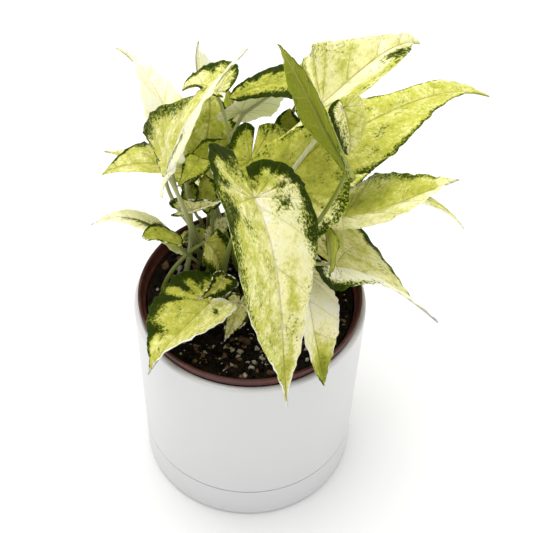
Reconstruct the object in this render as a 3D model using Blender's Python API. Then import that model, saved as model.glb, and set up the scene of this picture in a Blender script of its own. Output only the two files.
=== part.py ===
"""A potted syngonium: ceramic saucer and cover pot, plastic grow pot, soil and one object for each leaf.

Metres, +Z up. The origin is the middle of the saucer's flat base, on the pot's axis, and the front is -Y.
Sizes in this file are in millimetres and are scaled once, where a mesh is made.
"""
import bpy
import numpy as np

MM = 0.001

# Pots: outer radius at the base and the rim, and the heights of the saucer and the whole pot.
BASE_RADIUS = 63.4
RIM_RADIUS = 66.0
SAUCER_HEIGHT = 26.0
POT_HEIGHT = 130.3
SAUCER_WALL = 3.2
SAUCER_FLOOR = 4.0
POT_WALL = 4.0
POT_FLOOR = 5.0
DRAIN_RADIUS = 6.0
GAP = 0.3
GROW_BASE_RADIUS = 45.0
GROW_WALL = 1.4
GROW_TOP = 136.4
LIP_RADIUS = 63.6
LIP_HEIGHT = 5.4
SOIL_LEVEL = 121.0
POT_SIDES = 44

# Leaves: blade thickness, how deep a stalk stands in the soil and how far its hole stands off.
BLADE_THICKNESS = 0.8
STALK_DEPTH = 6.0
HOLE_CLEARANCE = 0.5
STALK_SIDES = 5
VEIN_LEAN = 0.75
MIDRIB_LENGTH = 0.2

# Half of a leaf's outline: along the midrib (behind the stalk in lobe lengths, ahead of it in
# blade lengths) and across it in half widths.
ARROWHEAD = ((-0.90, 0.12), (-1.0, 0.32), (-0.95, 0.55), (-0.70, 0.80), (-0.30, 0.95), (0.02, 1.0),
             (0.18, 0.96), (0.34, 0.83), (0.50, 0.64), (0.65, 0.43), (0.78, 0.25), (0.88, 0.12),
             (0.95, 0.045), (1.0, 0.0))
ROUND = ((-0.90, 0.12), (-1.0, 0.32), (-0.95, 0.6), (-0.65, 0.86), (-0.25, 0.98), (0.1, 1.0),
         (0.3, 0.97), (0.48, 0.90), (0.64, 0.78), (0.78, 0.60), (0.89, 0.38), (0.95, 0.22),
         (0.985, 0.10), (1.0, 0.0))

# Places along the outline, from the inner edge of the lobe to the tip, where a leaf's margin is trimmed.
TRIM_STATIONS = (0, 1.5, 3.5, 5.5, 7.5, 9.5, 11.5, 13)

LEAVES = []


def leaf(name, base, tip, wide, lobes, foot, rise, reach, roll=0, twist=0, bow=0, sway=0, late=(0, 0),
         fold=(0, 0), curl=(0, 0), lift=0, trim_left=(0,) * 7, trim_right=(0,) * 7, wave=0.6,
         outline=ARROWHEAD, tone="green"):
    """Note one leaf. Pairs are (left, right) as seen from the stalk towards the tip, upper side up.

    base and tip: ends of the midrib. wide and lobes: half widths and lobe lengths. foot: where the stalk
    stands in the soil. rise and reach: control points of the stalk's curve. roll and twist: turn of
    the blade about its midrib. bow and sway: how far the midrib curves up and aside. fold and curl: how the
    sides lift and roll. lift: how the lobes drop behind the stalk. trim: how far the margin stands out
    past the outline, at seven places from the lobe's inner edge towards the tip. wave: height of the
    margin's waves. tone: which of the leaf colours it has.
    """
    LEAVES.append(dict(name=name, base=np.array(base, float), tip=np.array(tip, float), wide=wide, lobes=lobes,
                       foot=foot, rise=rise, reach=reach, roll=roll, twist=twist, bow=bow, sway=sway,
                       late=late, fold=fold, curl=curl, lift=lift, trim=(trim_left, trim_right), wave=wave,
                       outline=outline, tone=tone, phase=0.37 * len(LEAVES)))


leaf("front_long", base=(1, -27, 238), tip=(20, -88, 148), wide=(32, 39), lobes=(18, 28),
     foot=(-15, 9), rise=(-20, 4, 164), reach=(2, 2, 211), roll=-17, twist=18,
     bow=22, sway=7, late=(9, 10), fold=(-3, 33), curl=(-13, 10), lift=7, trim_left=(-2, 0, 3, 2, -6, 0, -2),
     trim_right=(-4, 7, -3, 0, 3, -4, -2))
leaf("front_right", base=(28, -19, 175), tip=(40, -64, 134), wide=(32, 23), lobes=(18, 17),
     foot=(28, 9), rise=(27, 4, 148), reach=(30, -3, 161), roll=-45, twist=20,
     bow=4, sway=-7, fold=(7, 26), curl=(-22, -7), lift=0, trim_left=(0, 0, 0, 0, 1, 2, 1),
     trim_right=(0, 0, 0, -1, 1, 3, 2), tone="cream")
leaf("right_droop", base=(46, -10, 169), tip=(101, -35, 153), wide=(39, 21), lobes=(15, 16),
     foot=(37, 12), rise=(60, 8, 145), reach=(41, -8, 158), roll=-27, twist=-36,
     bow=6, sway=8, late=(3, 2), fold=(3, 1), curl=(26, -12), lift=20, trim_left=(1, 2, 5, 8, -3, -4, -2),
     trim_right=(-1, 0, 5, -2, -4, -3, -3), tone="pale")
leaf("right_mid", base=(51, 15, 182), tip=(112, 25, 202), wide=(46, 28), lobes=(17, 18),
     foot=(20, 1), rise=(8, 13, 160), reach=(40, -12, 208), roll=-11, twist=23,
     bow=-2, sway=-8, late=(-2, -5), fold=(-8, 36), curl=(-17, -19), lift=-1,
     trim_left=(0, 0, -1, 2, 3, 1, 1), trim_right=(0, 0, 0, 0, 0, -1, -4), tone="pale")
leaf("right_low", base=(57, 45, 153), tip=(126, 53, 134), wide=(11, 12), lobes=(20, 20),
     foot=(36, 36), rise=(35, 39, 133), reach=(46, 31, 138), roll=-12, twist=3,
     bow=12, sway=3, late=(-3, 0), fold=(1, 6), curl=(-14, -9), lift=0, trim_right=(0, 0, 0, 0, 0, 1, 2),
     tone="pale")
leaf("right_upper", base=(49, 58, 201), tip=(141, 115, 183), wide=(17, 31), lobes=(29, 21),
     foot=(9, 38), rise=(-4, 59, 141), reach=(55, 38, 158), roll=11, twist=-23,
     bow=2, sway=-1, late=(-8, -5), fold=(15, 28), curl=(-7, -23), lift=1, trim_left=(0, 0, 0, 0, -4, 8, 5),
     trim_right=(1, 1, 3, 1, -3, -2, -1))
leaf("folded_strip", base=(46, -29, 260), tip=(11, 22, 295), wide=(30, 19), lobes=(3, 3),
     foot=(2, 14), rise=(-5, -106, 276), reach=(29, 12, 144), roll=70, twist=29,
     bow=-3, sway=5, late=(-3, 0), fold=(3, 1), curl=(-32, -16), lift=2, trim_left=(0, 0, 0, 0, -2, -2, 0),
     trim_right=(0, 0, -1, -8, 5, 8, 0))
leaf("top_right", base=(36, 30, 250), tip=(86, 60, 266), wide=(30, 30), lobes=(19, 16),
     foot=(-7, 32), rise=(10, 60, 191), reach=(25, 84, 197), roll=6, twist=27,
     bow=14, sway=-11, late=(-5, -5), fold=(20, 41), curl=(-24, 7), lift=3,
     trim_left=(-8, -3, 3, 3, -7, -3, 4), trim_right=(0, 0, 0, 0, -1, 0, -3), tone="cream")
leaf("young_round", base=(43, -3, 277), tip=(47, -10, 253), wide=(12, 13), lobes=(4, 5),
     foot=(26, 30), rise=(-29, -28, 193), reach=(43, 15, 255), roll=-14, twist=-1,
     bow=2, sway=0, fold=(14, 20), curl=(-13, -6), lift=-3, trim_left=(-1, 0, 0, 0, 0, 1, 0),
     trim_right=(-1, 0, 0, 0, 0, -1, 0), outline=ROUND, tone="cream")
leaf("center_right", base=(16, 8, 209), tip=(47, 45, 220), wide=(26, 37), lobes=(19, 27),
     foot=(23, 17), rise=(39, 11, 150), reach=(12, 9, 183), roll=24, twist=9,
     bow=4, sway=5, late=(0, 3), fold=(24, 31), curl=(-7, 3), lift=-1, trim_left=(0, 0, -1, -3, -2, 2, 1),
     trim_right=(-1, -1, 0, 2, 4, 0, 0), tone="olive")
leaf("center_back", base=(-1, 35, 204), tip=(3, 4, 166), wide=(24, 14), lobes=(22, 20),
     foot=(9, 26), rise=(-7, 41, 167), reach=(4, 49, 190), roll=8, twist=0,
     bow=3, sway=-3, fold=(15, 11), curl=(-12, -9), lift=1, trim_left=(-2, 0, 3, -2, -1, 0, 0),
     trim_right=(-1, 1, 0, 0, 0, 0, 0))
leaf("dark_back", base=(20, 45, 203), tip=(20, 60, 220), wide=(12, 16), lobes=(6, 6),
     foot=(-3, 44), rise=(-4, 53, 138), reach=(22, 54, 185), roll=-1, twist=-1,
     bow=2, sway=1, fold=(14, 13), curl=(-9, -10), lift=0, trim_left=(0, 0, 0, 0, 0, 3, 2),
     trim_right=(0, 0, 0, 0, 1, 2, 1), tone="dark")
leaf("pale_back", base=(-6, 67, 210), tip=(29, 87, 225), wide=(27, 17), lobes=(10, 12),
     foot=(-12, 37), rise=(-25, 25, 142), reach=(-29, 45, 171), roll=-69, twist=-14,
     bow=-2, sway=-5, fold=(7, 12), curl=(-17, -11), lift=2, trim_left=(0, 0, 0, 0, 1, 0, 0), tone="cream")
leaf("arched", base=(27, 60, 240), tip=(-13, 54, 232), wide=(14, 16), lobes=(11, 11),
     foot=(3, 46), rise=(-14, 69, 167), reach=(31, 87, 193), roll=-2, twist=-23,
     bow=2, sway=-1, fold=(5, 5), curl=(-1, -32), lift=0, trim_left=(0, 0, 0, 0, -1, 1, 4),
     trim_right=(0, 0, 0, 0, 0, 2, 3), tone="dark")
leaf("top_left_pale", base=(-42, 47, 212), tip=(-77, 94, 232), wide=(33, 18), lobes=(17, 4),
     foot=(-43, 15), rise=(-29, 10, 154), reach=(-33, 35, 170), roll=17, twist=17,
     bow=4, sway=2, late=(-3, 2), fold=(38, 26), curl=(-18, -10), lift=0, trim_left=(0, 0, 1, 2, 1, -2, -1),
     trim_right=(-10, -12, -12, -4, -3, 0, 2), tone="cream")
leaf("top_small", base=(-25, 118, 168), tip=(-32, 108, 227), wide=(22, 23), lobes=(16, 16),
     foot=(-19, 38), rise=(-24, 38, 149), reach=(-37, 113, 150), roll=-27, twist=-10,
     bow=-1, sway=-3, late=(2, 0), fold=(3, 34), curl=(-12, 7), lift=0, tone="cream")
leaf("top_left_green", base=(-20, 60, 231), tip=(-39, 67, 225), wide=(16, 19), lobes=(6, 5),
     foot=(-27, 22), rise=(-25, 25, 141), reach=(2, 34, 185), roll=9, twist=-11,
     bow=3, sway=-1, fold=(33, 32), curl=(1, -10), lift=0, trim_right=(0, 0, 0, 0, 0, 1, 2))
leaf("left_big", base=(-42, -17, 242), tip=(-3, 14, 298), wide=(35, 35), lobes=(5, 6),
     foot=(-26, 33), rise=(-37, 17, 176), reach=(-28, -18, 204), roll=-40, twist=-10,
     bow=12, sway=-6, late=(5, 0), fold=(9, 4), curl=(26, -16), lift=20, trim_left=(1, 1, 3, 7, -3, -8, -1),
     trim_right=(-20, -20, -18, -17, 6, -2, -1), tone="pale")
leaf("left_out", base=(-44, 38, 195), tip=(-83, 38, 188), wide=(14, 27), lobes=(11, 11),
     foot=(-16, 17), rise=(-23, 17, 158), reach=(-42, 34, 159), roll=11, twist=-24,
     bow=7, sway=4, fold=(19, 10), curl=(-4, -43), lift=0, trim_right=(0, 0, 0, 1, 0, 2, 0), tone="pale")
leaf("left_tip", base=(-51, 78, 162), tip=(-84, 60, 185), wide=(15, 15), lobes=(12, 12),
     foot=(-17, 23), rise=(-18, 28, 150), reach=(-56, 68, 127), roll=4, twist=2,
     bow=1, sway=3, fold=(13, 9), curl=(-10, -12), lift=0, tone="cream")
leaf("olive_mid", base=(-29, 67, 174), tip=(-25, 87, 216), wide=(24, 26), lobes=(11, 11),
     foot=(-5, 27), rise=(-17, 27, 159), reach=(-28, 77, 154), roll=9, twist=1,
     bow=3, sway=-2, fold=(16, 12), curl=(-9, -11), lift=0, trim_right=(0, 0, 0, 0, 0, 0, -1), tone="olive")
leaf("olive_low", base=(-34, 50, 183), tip=(-12, 54, 203), wide=(17, 11), lobes=(3, 8),
     foot=(-27, 39), rise=(-25, 47, 152), reach=(-21, 49, 164), roll=-1, twist=18,
     bow=1, sway=-1, fold=(-3, 3), curl=(-15, -7), lift=-5, trim_left=(0, 0, 0, 0, 1, 1, 0),
     trim_right=(0, 0, 0, 0, 0, 2, 2), tone="olive")
leaf("amber_back", base=(-13, 80, 178), tip=(-19, 87, 215), wide=(8, 14), lobes=(10, 10),
     foot=(-2, 37), rise=(1, 51, 149), reach=(-30, 74, 167), roll=91, twist=5,
     bow=7, sway=-1, fold=(-6, 9), curl=(-29, -12), lift=0, tone="olive")
leaf("curl_small", base=(-30, 38, 199), tip=(-40, 16, 202), wide=(8, 8), lobes=(6, 6),
     foot=(8, 18), rise=(10, 24, 168), reach=(-9, 52, 170), roll=-9, twist=-1,
     bow=1, sway=1, fold=(12, 15), curl=(-11, -10), lift=0, tone="cream")
leaf("mid_green", base=(-24, 27, 179), tip=(-26, 44, 185), wide=(8, 11), lobes=(5, 5),
     foot=(-23, 2), rise=(-22, 2, 145), reach=(-20, 29, 169), roll=-75, twist=13,
     bow=2, sway=-1, fold=(25, -12), curl=(-7, -28), lift=0, trim_left=(0, 0, 0, 0, 0, 1, 1),
     trim_right=(0, 0, 0, -1, 2, 1, 0), tone="dark")
leaf("mid_dark", base=(-33, 36, 170), tip=(-38, 53, 177), wide=(7, 8), lobes=(5, 5),
     foot=(-13, 29), rise=(-17, 23, 145), reach=(-12, 35, 151), roll=-39, twist=1,
     bow=1, sway=0, fold=(14, 11), curl=(-10, -12), lift=0, tone="dark")
leaf("folded_small", base=(-32, 22, 178), tip=(-15, 22, 186), wide=(8, 9), lobes=(12, 10),
     foot=(-22, 42), rise=(-35, 60, 153), reach=(-27, 26, 157), roll=23, twist=-2,
     bow=2, sway=-1, fold=(45, 51), curl=(8, 7), lift=27, trim_left=(1, 1, 2, -1, -1, -1, 0),
     trim_right=(1, 1, 1, 0, 0, 0, 0), tone="pale")
leaf("left_low_long", base=(-47, 19, 160), tip=(-89, 19, 168), wide=(16, 20), lobes=(12, 12),
     foot=(-21, 33), rise=(-28, 43, 137), reach=(-41, 21, 133), roll=15, twist=-6,
     bow=6, sway=0, late=(-2, 0), fold=(15, -1), curl=(-11, -29), lift=0, trim_left=(0, 0, 0, 0, 0, -1, 0),
     trim_right=(0, 0, 0, 0, 0, 1, 0), tone="cream")
leaf("left_low_small", base=(-41, 4, 171), tip=(-59, -1, 180), wide=(6, 13), lobes=(4, 4),
     foot=(-32, 29), rise=(-28, 19, 144), reach=(-30, 9, 146), roll=12, twist=-22,
     bow=1, sway=-2, fold=(12, 1), curl=(2, -7), lift=0, trim_left=(0, 0, 0, 0, 0, 2, 3),
     trim_right=(0, 0, -1, 0, 2, 2, 1))
leaf("left_low_round", base=(-39, 33, 142), tip=(-25, 31, 150), wide=(10, 8), lobes=(4, 4),
     foot=(-33, 38), rise=(-34, 36, 124), reach=(-37, 35, 137), roll=-23, twist=26,
     bow=0, sway=0, fold=(15, 0), curl=(-6, -5), lift=-4, trim_right=(0, 0, -1, -2, 1, 2, 1), outline=ROUND)
leaf("cup_round", base=(-25, 10, 165), tip=(-19, 11, 140), wide=(11, 15), lobes=(1, 1),
     foot=(-50, 7), rise=(-55, 3, 139), reach=(-33, 18, 153), roll=35, twist=13,
     bow=3, sway=1, fold=(33, 25), curl=(-7, -6), lift=3, trim_left=(0, 0, 0, -1, 0, 1, 0), outline=ROUND,
     tone="dark")
leaf("cream_curl", base=(-22, 23, 155), tip=(-13, 27, 168), wide=(8, 7), lobes=(5, 5),
     foot=(-11, 20), rise=(-15, 21, 125), reach=(-18, 23, 135), roll=4, twist=8,
     bow=0, sway=0, fold=(5, 1), curl=(-15, -12), lift=0, trim_left=(0, 0, 0, -1, 1, 2, 1),
     trim_right=(0, 0, 0, 0, 0, 2, 2), tone="cream")
leaf("small_dark", base=(-16, -22, 171), tip=(-29, -28, 161), wide=(9, 7), lobes=(5, 5),
     foot=(-6, 13), rise=(-9, 7, 132), reach=(-10, -7, 162), roll=-73, twist=-7,
     bow=1, sway=1, fold=(22, 25), curl=(-3, -6), lift=5, trim_left=(0, 1, 2, 0, -1, -1, 0),
     trim_right=(0, 0, 1, 0, -1, 0, 0), tone="dark")
leaf("lower_left", base=(-22, -25, 154), tip=(-53, -66, 144), wide=(31, 29), lobes=(6, 16),
     foot=(-17, -3), rise=(-20, -1, 132), reach=(-20, -19, 148), roll=11, twist=23,
     bow=1, sway=2, late=(-2, 2), fold=(25, 16), curl=(-24, -4), lift=2,
     trim_left=(-8, -14, -14, -8, -3, -5, -4), trim_right=(0, 1, -1, -3, 5, 3, 0))
leaf("small_front", base=(-6, -13, 140), tip=(-14, -32, 130), wide=(8, 8), lobes=(6, 6),
     foot=(-7, 6), rise=(-7, 0, 123), reach=(-9, -9, 138), roll=-1, twist=-3,
     bow=1, sway=1, fold=(16, 17), curl=(-7, -9), lift=0, trim_left=(0, 0, 0, -1, 2, 0, 0),
     trim_right=(0, 0, 1, 1, -1, 1, 0), tone="pale")
leaf("curl_right", base=(41, -32, 196), tip=(38, -10, 204), wide=(14, 8), lobes=(6, 6),
     foot=(-1, 20), rise=(-10, 0, 170), reach=(0, -39, 202), roll=84, twist=20,
     bow=1, sway=0, fold=(15, 1), curl=(-5, -9), lift=-1, trim_left=(0, 0, 0, 0, 1, 1, 0),
     trim_right=(0, 0, 0, 0, 0, 2, 3))
leaf("rear_mid", base=(4, 75, 143), tip=(12, 110, 139), wide=(13, 13), lobes=(10, 10),
     foot=(4, 35), rise=(1, 30, 136), reach=(5, 68, 138), roll=0, twist=0,
     bow=3, sway=0, fold=(14, 14), curl=(-10, -10), lift=0)
leaf("rear_right", base=(35, 66, 146), tip=(73, 96, 137), wide=(13, 18), lobes=(14, 14),
     foot=(28, 22), rise=(40, 25, 140), reach=(30, 53, 134), roll=5, twist=0,
     bow=4, sway=0, fold=(14, 14), curl=(-10, -10), lift=0)
leaf("rear_left", base=(-26, 66, 150), tip=(-54, 94, 148), wide=(14, 14), lobes=(11, 11),
     foot=(-12, 42), rise=(-15, 44, 135), reach=(-23, 57, 143), roll=-5, twist=0,
     bow=3, sway=0, fold=(14, 14), curl=(-10, -10), lift=0)

TONES = {
    "cream": (0.80, 0.79, 0.46),
    "olive": (0.42, 0.46, 0.16),
    "green": (0.50, 0.58, 0.20),
    "dark": (0.16, 0.26, 0.06),
    "pale": (0.72, 0.74, 0.50),
}


def clear_scene():
    for obj in list(bpy.data.objects):
        bpy.data.objects.remove(obj, do_unlink=True)


def material(name, color, roughness, metallic=0.0):
    """A plain Principled material, shared by name."""
    if name in bpy.data.materials:
        return bpy.data.materials[name]
    mat = bpy.data.materials.new(name)
    mat.use_nodes = True
    shader = mat.node_tree.nodes["Principled BSDF"]
    shader.inputs["Base Color"].default_value = (*color, 1.0)
    shader.inputs["Roughness"].default_value = roughness
    shader.inputs["Metallic"].default_value = metallic
    return mat


def add_object(name, points, faces, mat):
    """A smooth-shaded mesh object from points in millimetres."""
    mesh = bpy.data.meshes.new(name)
    mesh.from_pydata([tuple(p) for p in np.asarray(points) * MM], [], [tuple(map(int, f)) for f in faces])
    mesh.materials.append(mat)
    mesh.update()
    mesh.shade_smooth()
    mesh.set_sharp_from_angle(angle=np.radians(40))
    obj = bpy.data.objects.new(name, mesh)
    bpy.context.scene.collection.objects.link(obj)
    return obj


def join_bodies(obj, other):
    """Unite obj with other by an applied Boolean and remove other."""
    union = obj.modifiers.new("union", "BOOLEAN")
    union.operation = "UNION"
    union.solver = "EXACT"
    union.object = other
    bpy.context.view_layer.update()
    graph = bpy.context.evaluated_depsgraph_get()
    mesh = bpy.data.meshes.new_from_object(obj.evaluated_get(graph))
    obj.modifiers.clear()
    mesh.name = obj.name
    obj.data = mesh
    bpy.data.objects.remove(other, do_unlink=True)


def turned(profile, sides, relief=None):
    """Points and faces of a profile of (radius, height) turned about Z.

    A profile that starts and ends on the axis is closed there, and any other is a closed loop. It runs
    anticlockwise, with the radius to the right. relief(x, y) adds height to the points it names.
    """
    angles = 2 * np.pi * np.arange(sides) / sides
    points = []
    rows = []
    for radius, height in profile:
        if radius == 0:
            rows.append([len(points)] * sides)
            points.append((0.0, 0.0, height))
        else:
            rows.append([len(points) + k for k in range(sides)])
            points.extend((radius * np.cos(a), radius * np.sin(a), height) for a in angles)
    count = len(profile)
    pairs = [(k, k + 1) for k in range(count - 1)]
    if profile[0][0] != 0:
        pairs.append((count - 1, 0))
    faces = []
    for low, high in pairs:
        for k in range(sides):
            ring = (rows[low][k], rows[low][(k + 1) % sides], rows[high][(k + 1) % sides], rows[high][k])
            face = [v for n, v in enumerate(ring) if v not in ring[:n]]
            if len(face) > 2:
                faces.append(face)
    points = np.array(points)
    if relief:
        points[:, 2] += relief(points)
    return points, faces


def outer_radius(height):
    """Outer radius of the tapered ceramic at a height."""
    return BASE_RADIUS + (RIM_RADIUS - BASE_RADIUS) * height / POT_HEIGHT


def build_saucer():
    inner = outer_radius(SAUCER_HEIGHT) - SAUCER_WALL
    top = SAUCER_HEIGHT
    profile = [(0, 0), (BASE_RADIUS - 1.4, 0), (BASE_RADIUS, 1.4), (outer_radius(top), top - 0.7),
               (outer_radius(top) - 0.7, top), (inner + 0.7, top), (inner, top - 0.7),
               (inner, SAUCER_FLOOR + 1.0), (inner - 1.0, SAUCER_FLOOR), (0, SAUCER_FLOOR)]
    white = material("saucer_ceramic", (0.86, 0.86, 0.85), 0.22)
    return add_object("saucer", *turned(profile, POT_SIDES), white)


def build_cover_pot():
    """The pot's foot stands in the saucer, and its shoulder carries the wall on flush with the saucer."""
    foot = outer_radius(SAUCER_HEIGHT) - SAUCER_WALL - GAP
    bottom = SAUCER_FLOOR + GAP
    shoulder = SAUCER_HEIGHT + GAP
    floor = bottom + POT_FLOOR
    profile = [(DRAIN_RADIUS, bottom), (foot - 0.9, bottom), (foot, bottom + 0.9), (foot, shoulder),
               (outer_radius(shoulder) - 0.7, shoulder), (outer_radius(shoulder), shoulder + 0.7),
               (RIM_RADIUS, POT_HEIGHT - 2.2), (RIM_RADIUS - 0.6, POT_HEIGHT - 0.7),
               (RIM_RADIUS - 2.0, POT_HEIGHT), (RIM_RADIUS - 3.4, POT_HEIGHT - 0.7),
               (RIM_RADIUS - POT_WALL, POT_HEIGHT - 2.2), (outer_radius(32) - POT_WALL, 32),
               (foot - POT_WALL, 25), (foot - POT_WALL, floor + 1.4), (foot - POT_WALL - 1.4, floor),
               (DRAIN_RADIUS, floor)]
    white = material("pot_ceramic", (0.86, 0.86, 0.85), 0.22)
    return add_object("cover_pot", *turned(profile, POT_SIDES), white)


GROW_BOTTOM = SAUCER_FLOOR + GAP + POT_FLOOR + GAP
GROW_NECK = GROW_TOP - LIP_HEIGHT


def grow_radius(height):
    """Outer radius of the tapered grow pot at a height."""
    share = (height - GROW_BOTTOM) / (GROW_NECK - GROW_BOTTOM)
    return GROW_BASE_RADIUS + (LIP_RADIUS - 3.0 - GROW_BASE_RADIUS) * share


def build_grow_pot():
    """The flared lip rests just above the cover pot's rim."""
    floor = GROW_BOTTOM + GROW_WALL
    lip = LIP_RADIUS
    profile = [(DRAIN_RADIUS + 1, GROW_BOTTOM), (GROW_BASE_RADIUS - 0.8, GROW_BOTTOM),
               (GROW_BASE_RADIUS, GROW_BOTTOM + 0.8), (grow_radius(GROW_NECK), GROW_NECK),
               (lip - 1.2, GROW_NECK), (lip - 0.8, GROW_NECK + 0.8), (lip, GROW_TOP - 1.0), (lip - 0.6, GROW_TOP),
               (lip - 2.4, GROW_TOP), (lip - 3.2, GROW_TOP - 0.8), (lip - 4.2, GROW_NECK + 1.0),
               (grow_radius(GROW_NECK - 1) - GROW_WALL, GROW_NECK - 1), (GROW_BASE_RADIUS - GROW_WALL, floor),
               (DRAIN_RADIUS + 1, floor)]
    brown = material("grow_pot_plastic", (0.20, 0.085, 0.06), 0.4)
    return add_object("grow_pot", *turned(profile, POT_SIDES), brown)


def soil_relief(points):
    """Low mounds on the soil, which fade out at its edge and below its surface."""
    x, y, z = points.T
    mounds = 0.8 * np.sin(0.16 * x + 0.7) * np.cos(0.14 * y) + 0.5 * np.sin(0.31 * y - 0.2 * x)
    inside = np.clip((54 - np.hypot(x, y)) / 10, 0, 1)
    return np.where(z > SOIL_LEVEL - 2, mounds * inside, 0)


def build_soil():
    bottom = GROW_BOTTOM + GROW_WALL + GAP
    inset = GROW_WALL + GAP
    side = grow_radius(SOIL_LEVEL - 2) - inset - 0.2
    profile = [(0, bottom), (grow_radius(bottom) - inset - 0.3, bottom), (side, SOIL_LEVEL - 2.2),
               (side - 1.2, SOIL_LEVEL), (46, SOIL_LEVEL), (36, SOIL_LEVEL), (24, SOIL_LEVEL), (12, SOIL_LEVEL),
               (0, SOIL_LEVEL)]
    dark = material("soil", (0.035, 0.024, 0.018), 0.95)
    soil = add_object("soil", *turned(profile, 40, soil_relief), dark)
    points = []
    faces = []
    for spec in LEAVES:
        path = stalk_path(spec, stalk_points(spec))
        under = path[0] - 0.6 * unit(path[1] - path[0])
        above = np.argmax(path[:, 2] > SOIL_LEVEL + 6) + 1
        hole_points, hole_faces = tube([under, *path[1:above]], [stalk_radii(spec)[0] + HOLE_CLEARANCE] * above, 8)
        faces.extend([v + len(points) for v in face] for face in hole_faces)
        points.extend(hole_points)
    cutter = add_object("stalk_holes_cutter", points, faces, dark)
    cutter.hide_render = True
    cutter.display_type = "WIRE"
    holes = soil.modifiers.new("stalk_holes", "BOOLEAN")
    holes.operation = "DIFFERENCE"
    holes.solver = "EXACT"
    holes.use_self = True
    holes.object = cutter
    return soil


def unit(v):
    return v / np.linalg.norm(v, axis=-1, keepdims=True)


def turned_about(v, axis, angle):
    """v turned about a unit axis."""
    c, s = np.cos(angle), np.sin(angle)
    return v * c + np.cross(axis, v) * s + axis * np.sum(axis * v, -1, keepdims=True) * (1 - c)


def half_outline(points, count):
    """count points on a smooth curve through the given ones."""
    p = np.array(points, float)
    p = np.vstack([2 * p[0] - p[1], p, 2 * p[-1] - p[-2]])
    t = np.linspace(0, len(points) - 1, count)
    k = np.minimum(t.astype(int), len(points) - 2)
    f = (t - k)[:, None]
    a, b, c, d = p[k], p[k + 1], p[k + 2], p[k + 3]
    return 0.5 * (2 * b + (c - a) * f + (2 * a - 5 * b + 4 * c - d) * f**2 + (3 * b - a - 3 * c + d) * f**3)


def blade_axes(spec):
    """Length, direction, upper side and left side of a blade at its base."""
    along = spec["tip"] - spec["base"]
    length = np.linalg.norm(along)
    ahead = along / length
    upper = unit(np.array([0, 0, 1.0]) - ahead[2] * ahead)
    upper = turned_about(upper, ahead, np.radians(spec["roll"]))
    return length, ahead, upper, np.cross(upper, ahead)


def midrib(spec, share):
    """Points of the midrib at shares of its length, and its unit tangents."""
    length, ahead, upper, left = blade_axes(spec)
    share = np.asarray(share, float)[..., None]
    whole = spec["bow"] * upper + spec["sway"] * left
    late = 2.6 * (spec["late"][0] * upper + spec["late"][1] * left)
    points = spec["base"] + length * share * ahead + 4 * share * (1 - share) * whole + (share**3 - share) * late
    slope = 4 * (1 - 2 * share) * whole + (3 * share**2 - 1) * late
    return points, unit(ahead + slope / length)


def blade_half(spec, side, ribs, steps):
    """Points of one half of the blade: rows follow its side veins, columns run from midrib to margin."""
    length, ahead, upper, left = blade_axes(spec)
    k = 0 if side > 0 else 1
    outline = half_outline(spec["outline"], ribs)
    a = np.linspace(0, 1, ribs)[:, None]
    b = np.linspace(0, 1, steps + 1)[None, :]
    start = np.maximum(0, outline[:, 0] * length - VEIN_LEAN * outline[:, 1] * sum(spec["wide"]) / 2)[:, None]
    trim = np.interp(np.linspace(0, TRIM_STATIONS[-1], ribs), TRIM_STATIONS, (*spec["trim"][k], 0))
    across = outline[:, 1] * spec["wide"][k]
    across = np.maximum(across + trim, 0.06 * across)[:, None]
    reach = np.where(outline[:, 0] > 0, outline[:, 0] * length, outline[:, 0] * spec["lobes"][k])[:, None]
    x = start + (reach - start) * b**1.2
    y = across * b
    share = np.maximum(x, 0) / length
    behind = np.minimum(x, 0)[..., None]
    points, tangent = midrib(spec, share)
    normal = turned_about(upper + 0 * tangent, ahead + 0 * tangent, np.radians(spec["twist"]) * share[..., None])
    normal = unit(normal - np.sum(normal * tangent, -1, keepdims=True) * tangent)
    aside = np.cross(normal, tangent)
    fold = np.radians(spec["fold"][k])
    bend = np.radians(spec["curl"][k]) / spec["wide"][k]
    bend = bend if abs(bend) > 1e-6 else 1e-6
    out = (np.sin(fold + bend * y) - np.sin(fold)) / bend
    up = (np.cos(fold) - np.cos(fold + bend * y)) / bend
    up = up + spec["wave"] * b**2 * np.sin(2 * np.pi * (2.5 * a + spec["phase"] + 0.25 * k)) * np.sin(
        np.pi * np.clip(a * 1.1, 0, 1))
    drop = np.radians(spec["lift"])
    points = points + behind * (np.cos(drop) * tangent - np.sin(drop) * normal)
    return points + (side * out)[..., None] * aside + up[..., None] * normal


def blade_sheet(spec, ribs, steps):
    """The blade's middle surface as points and triangles, with both halves meeting on the midrib."""
    points = []
    faces = []
    known = {}
    for side in (1, -1):
        half = blade_half(spec, side, ribs, steps)
        index = np.zeros((ribs, steps + 1), int)
        for i in range(ribs):
            for j in range(steps + 1):
                key = tuple(np.round(half[i, j], 4))
                if key not in known:
                    known[key] = len(points)
                    points.append(half[i, j])
                index[i, j] = known[key]
        for i in range(ribs - 1):
            for j in range(steps):
                ring = (index[i, j], index[i + 1, j], index[i + 1, j + 1], index[i, j + 1])
                for face in ((ring[0], ring[1], ring[2]), (ring[0], ring[2], ring[3])):
                    if len(set(face)) == 3:
                        faces.append(face if side > 0 else face[::-1])
    return np.array(points), np.array(faces)


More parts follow.
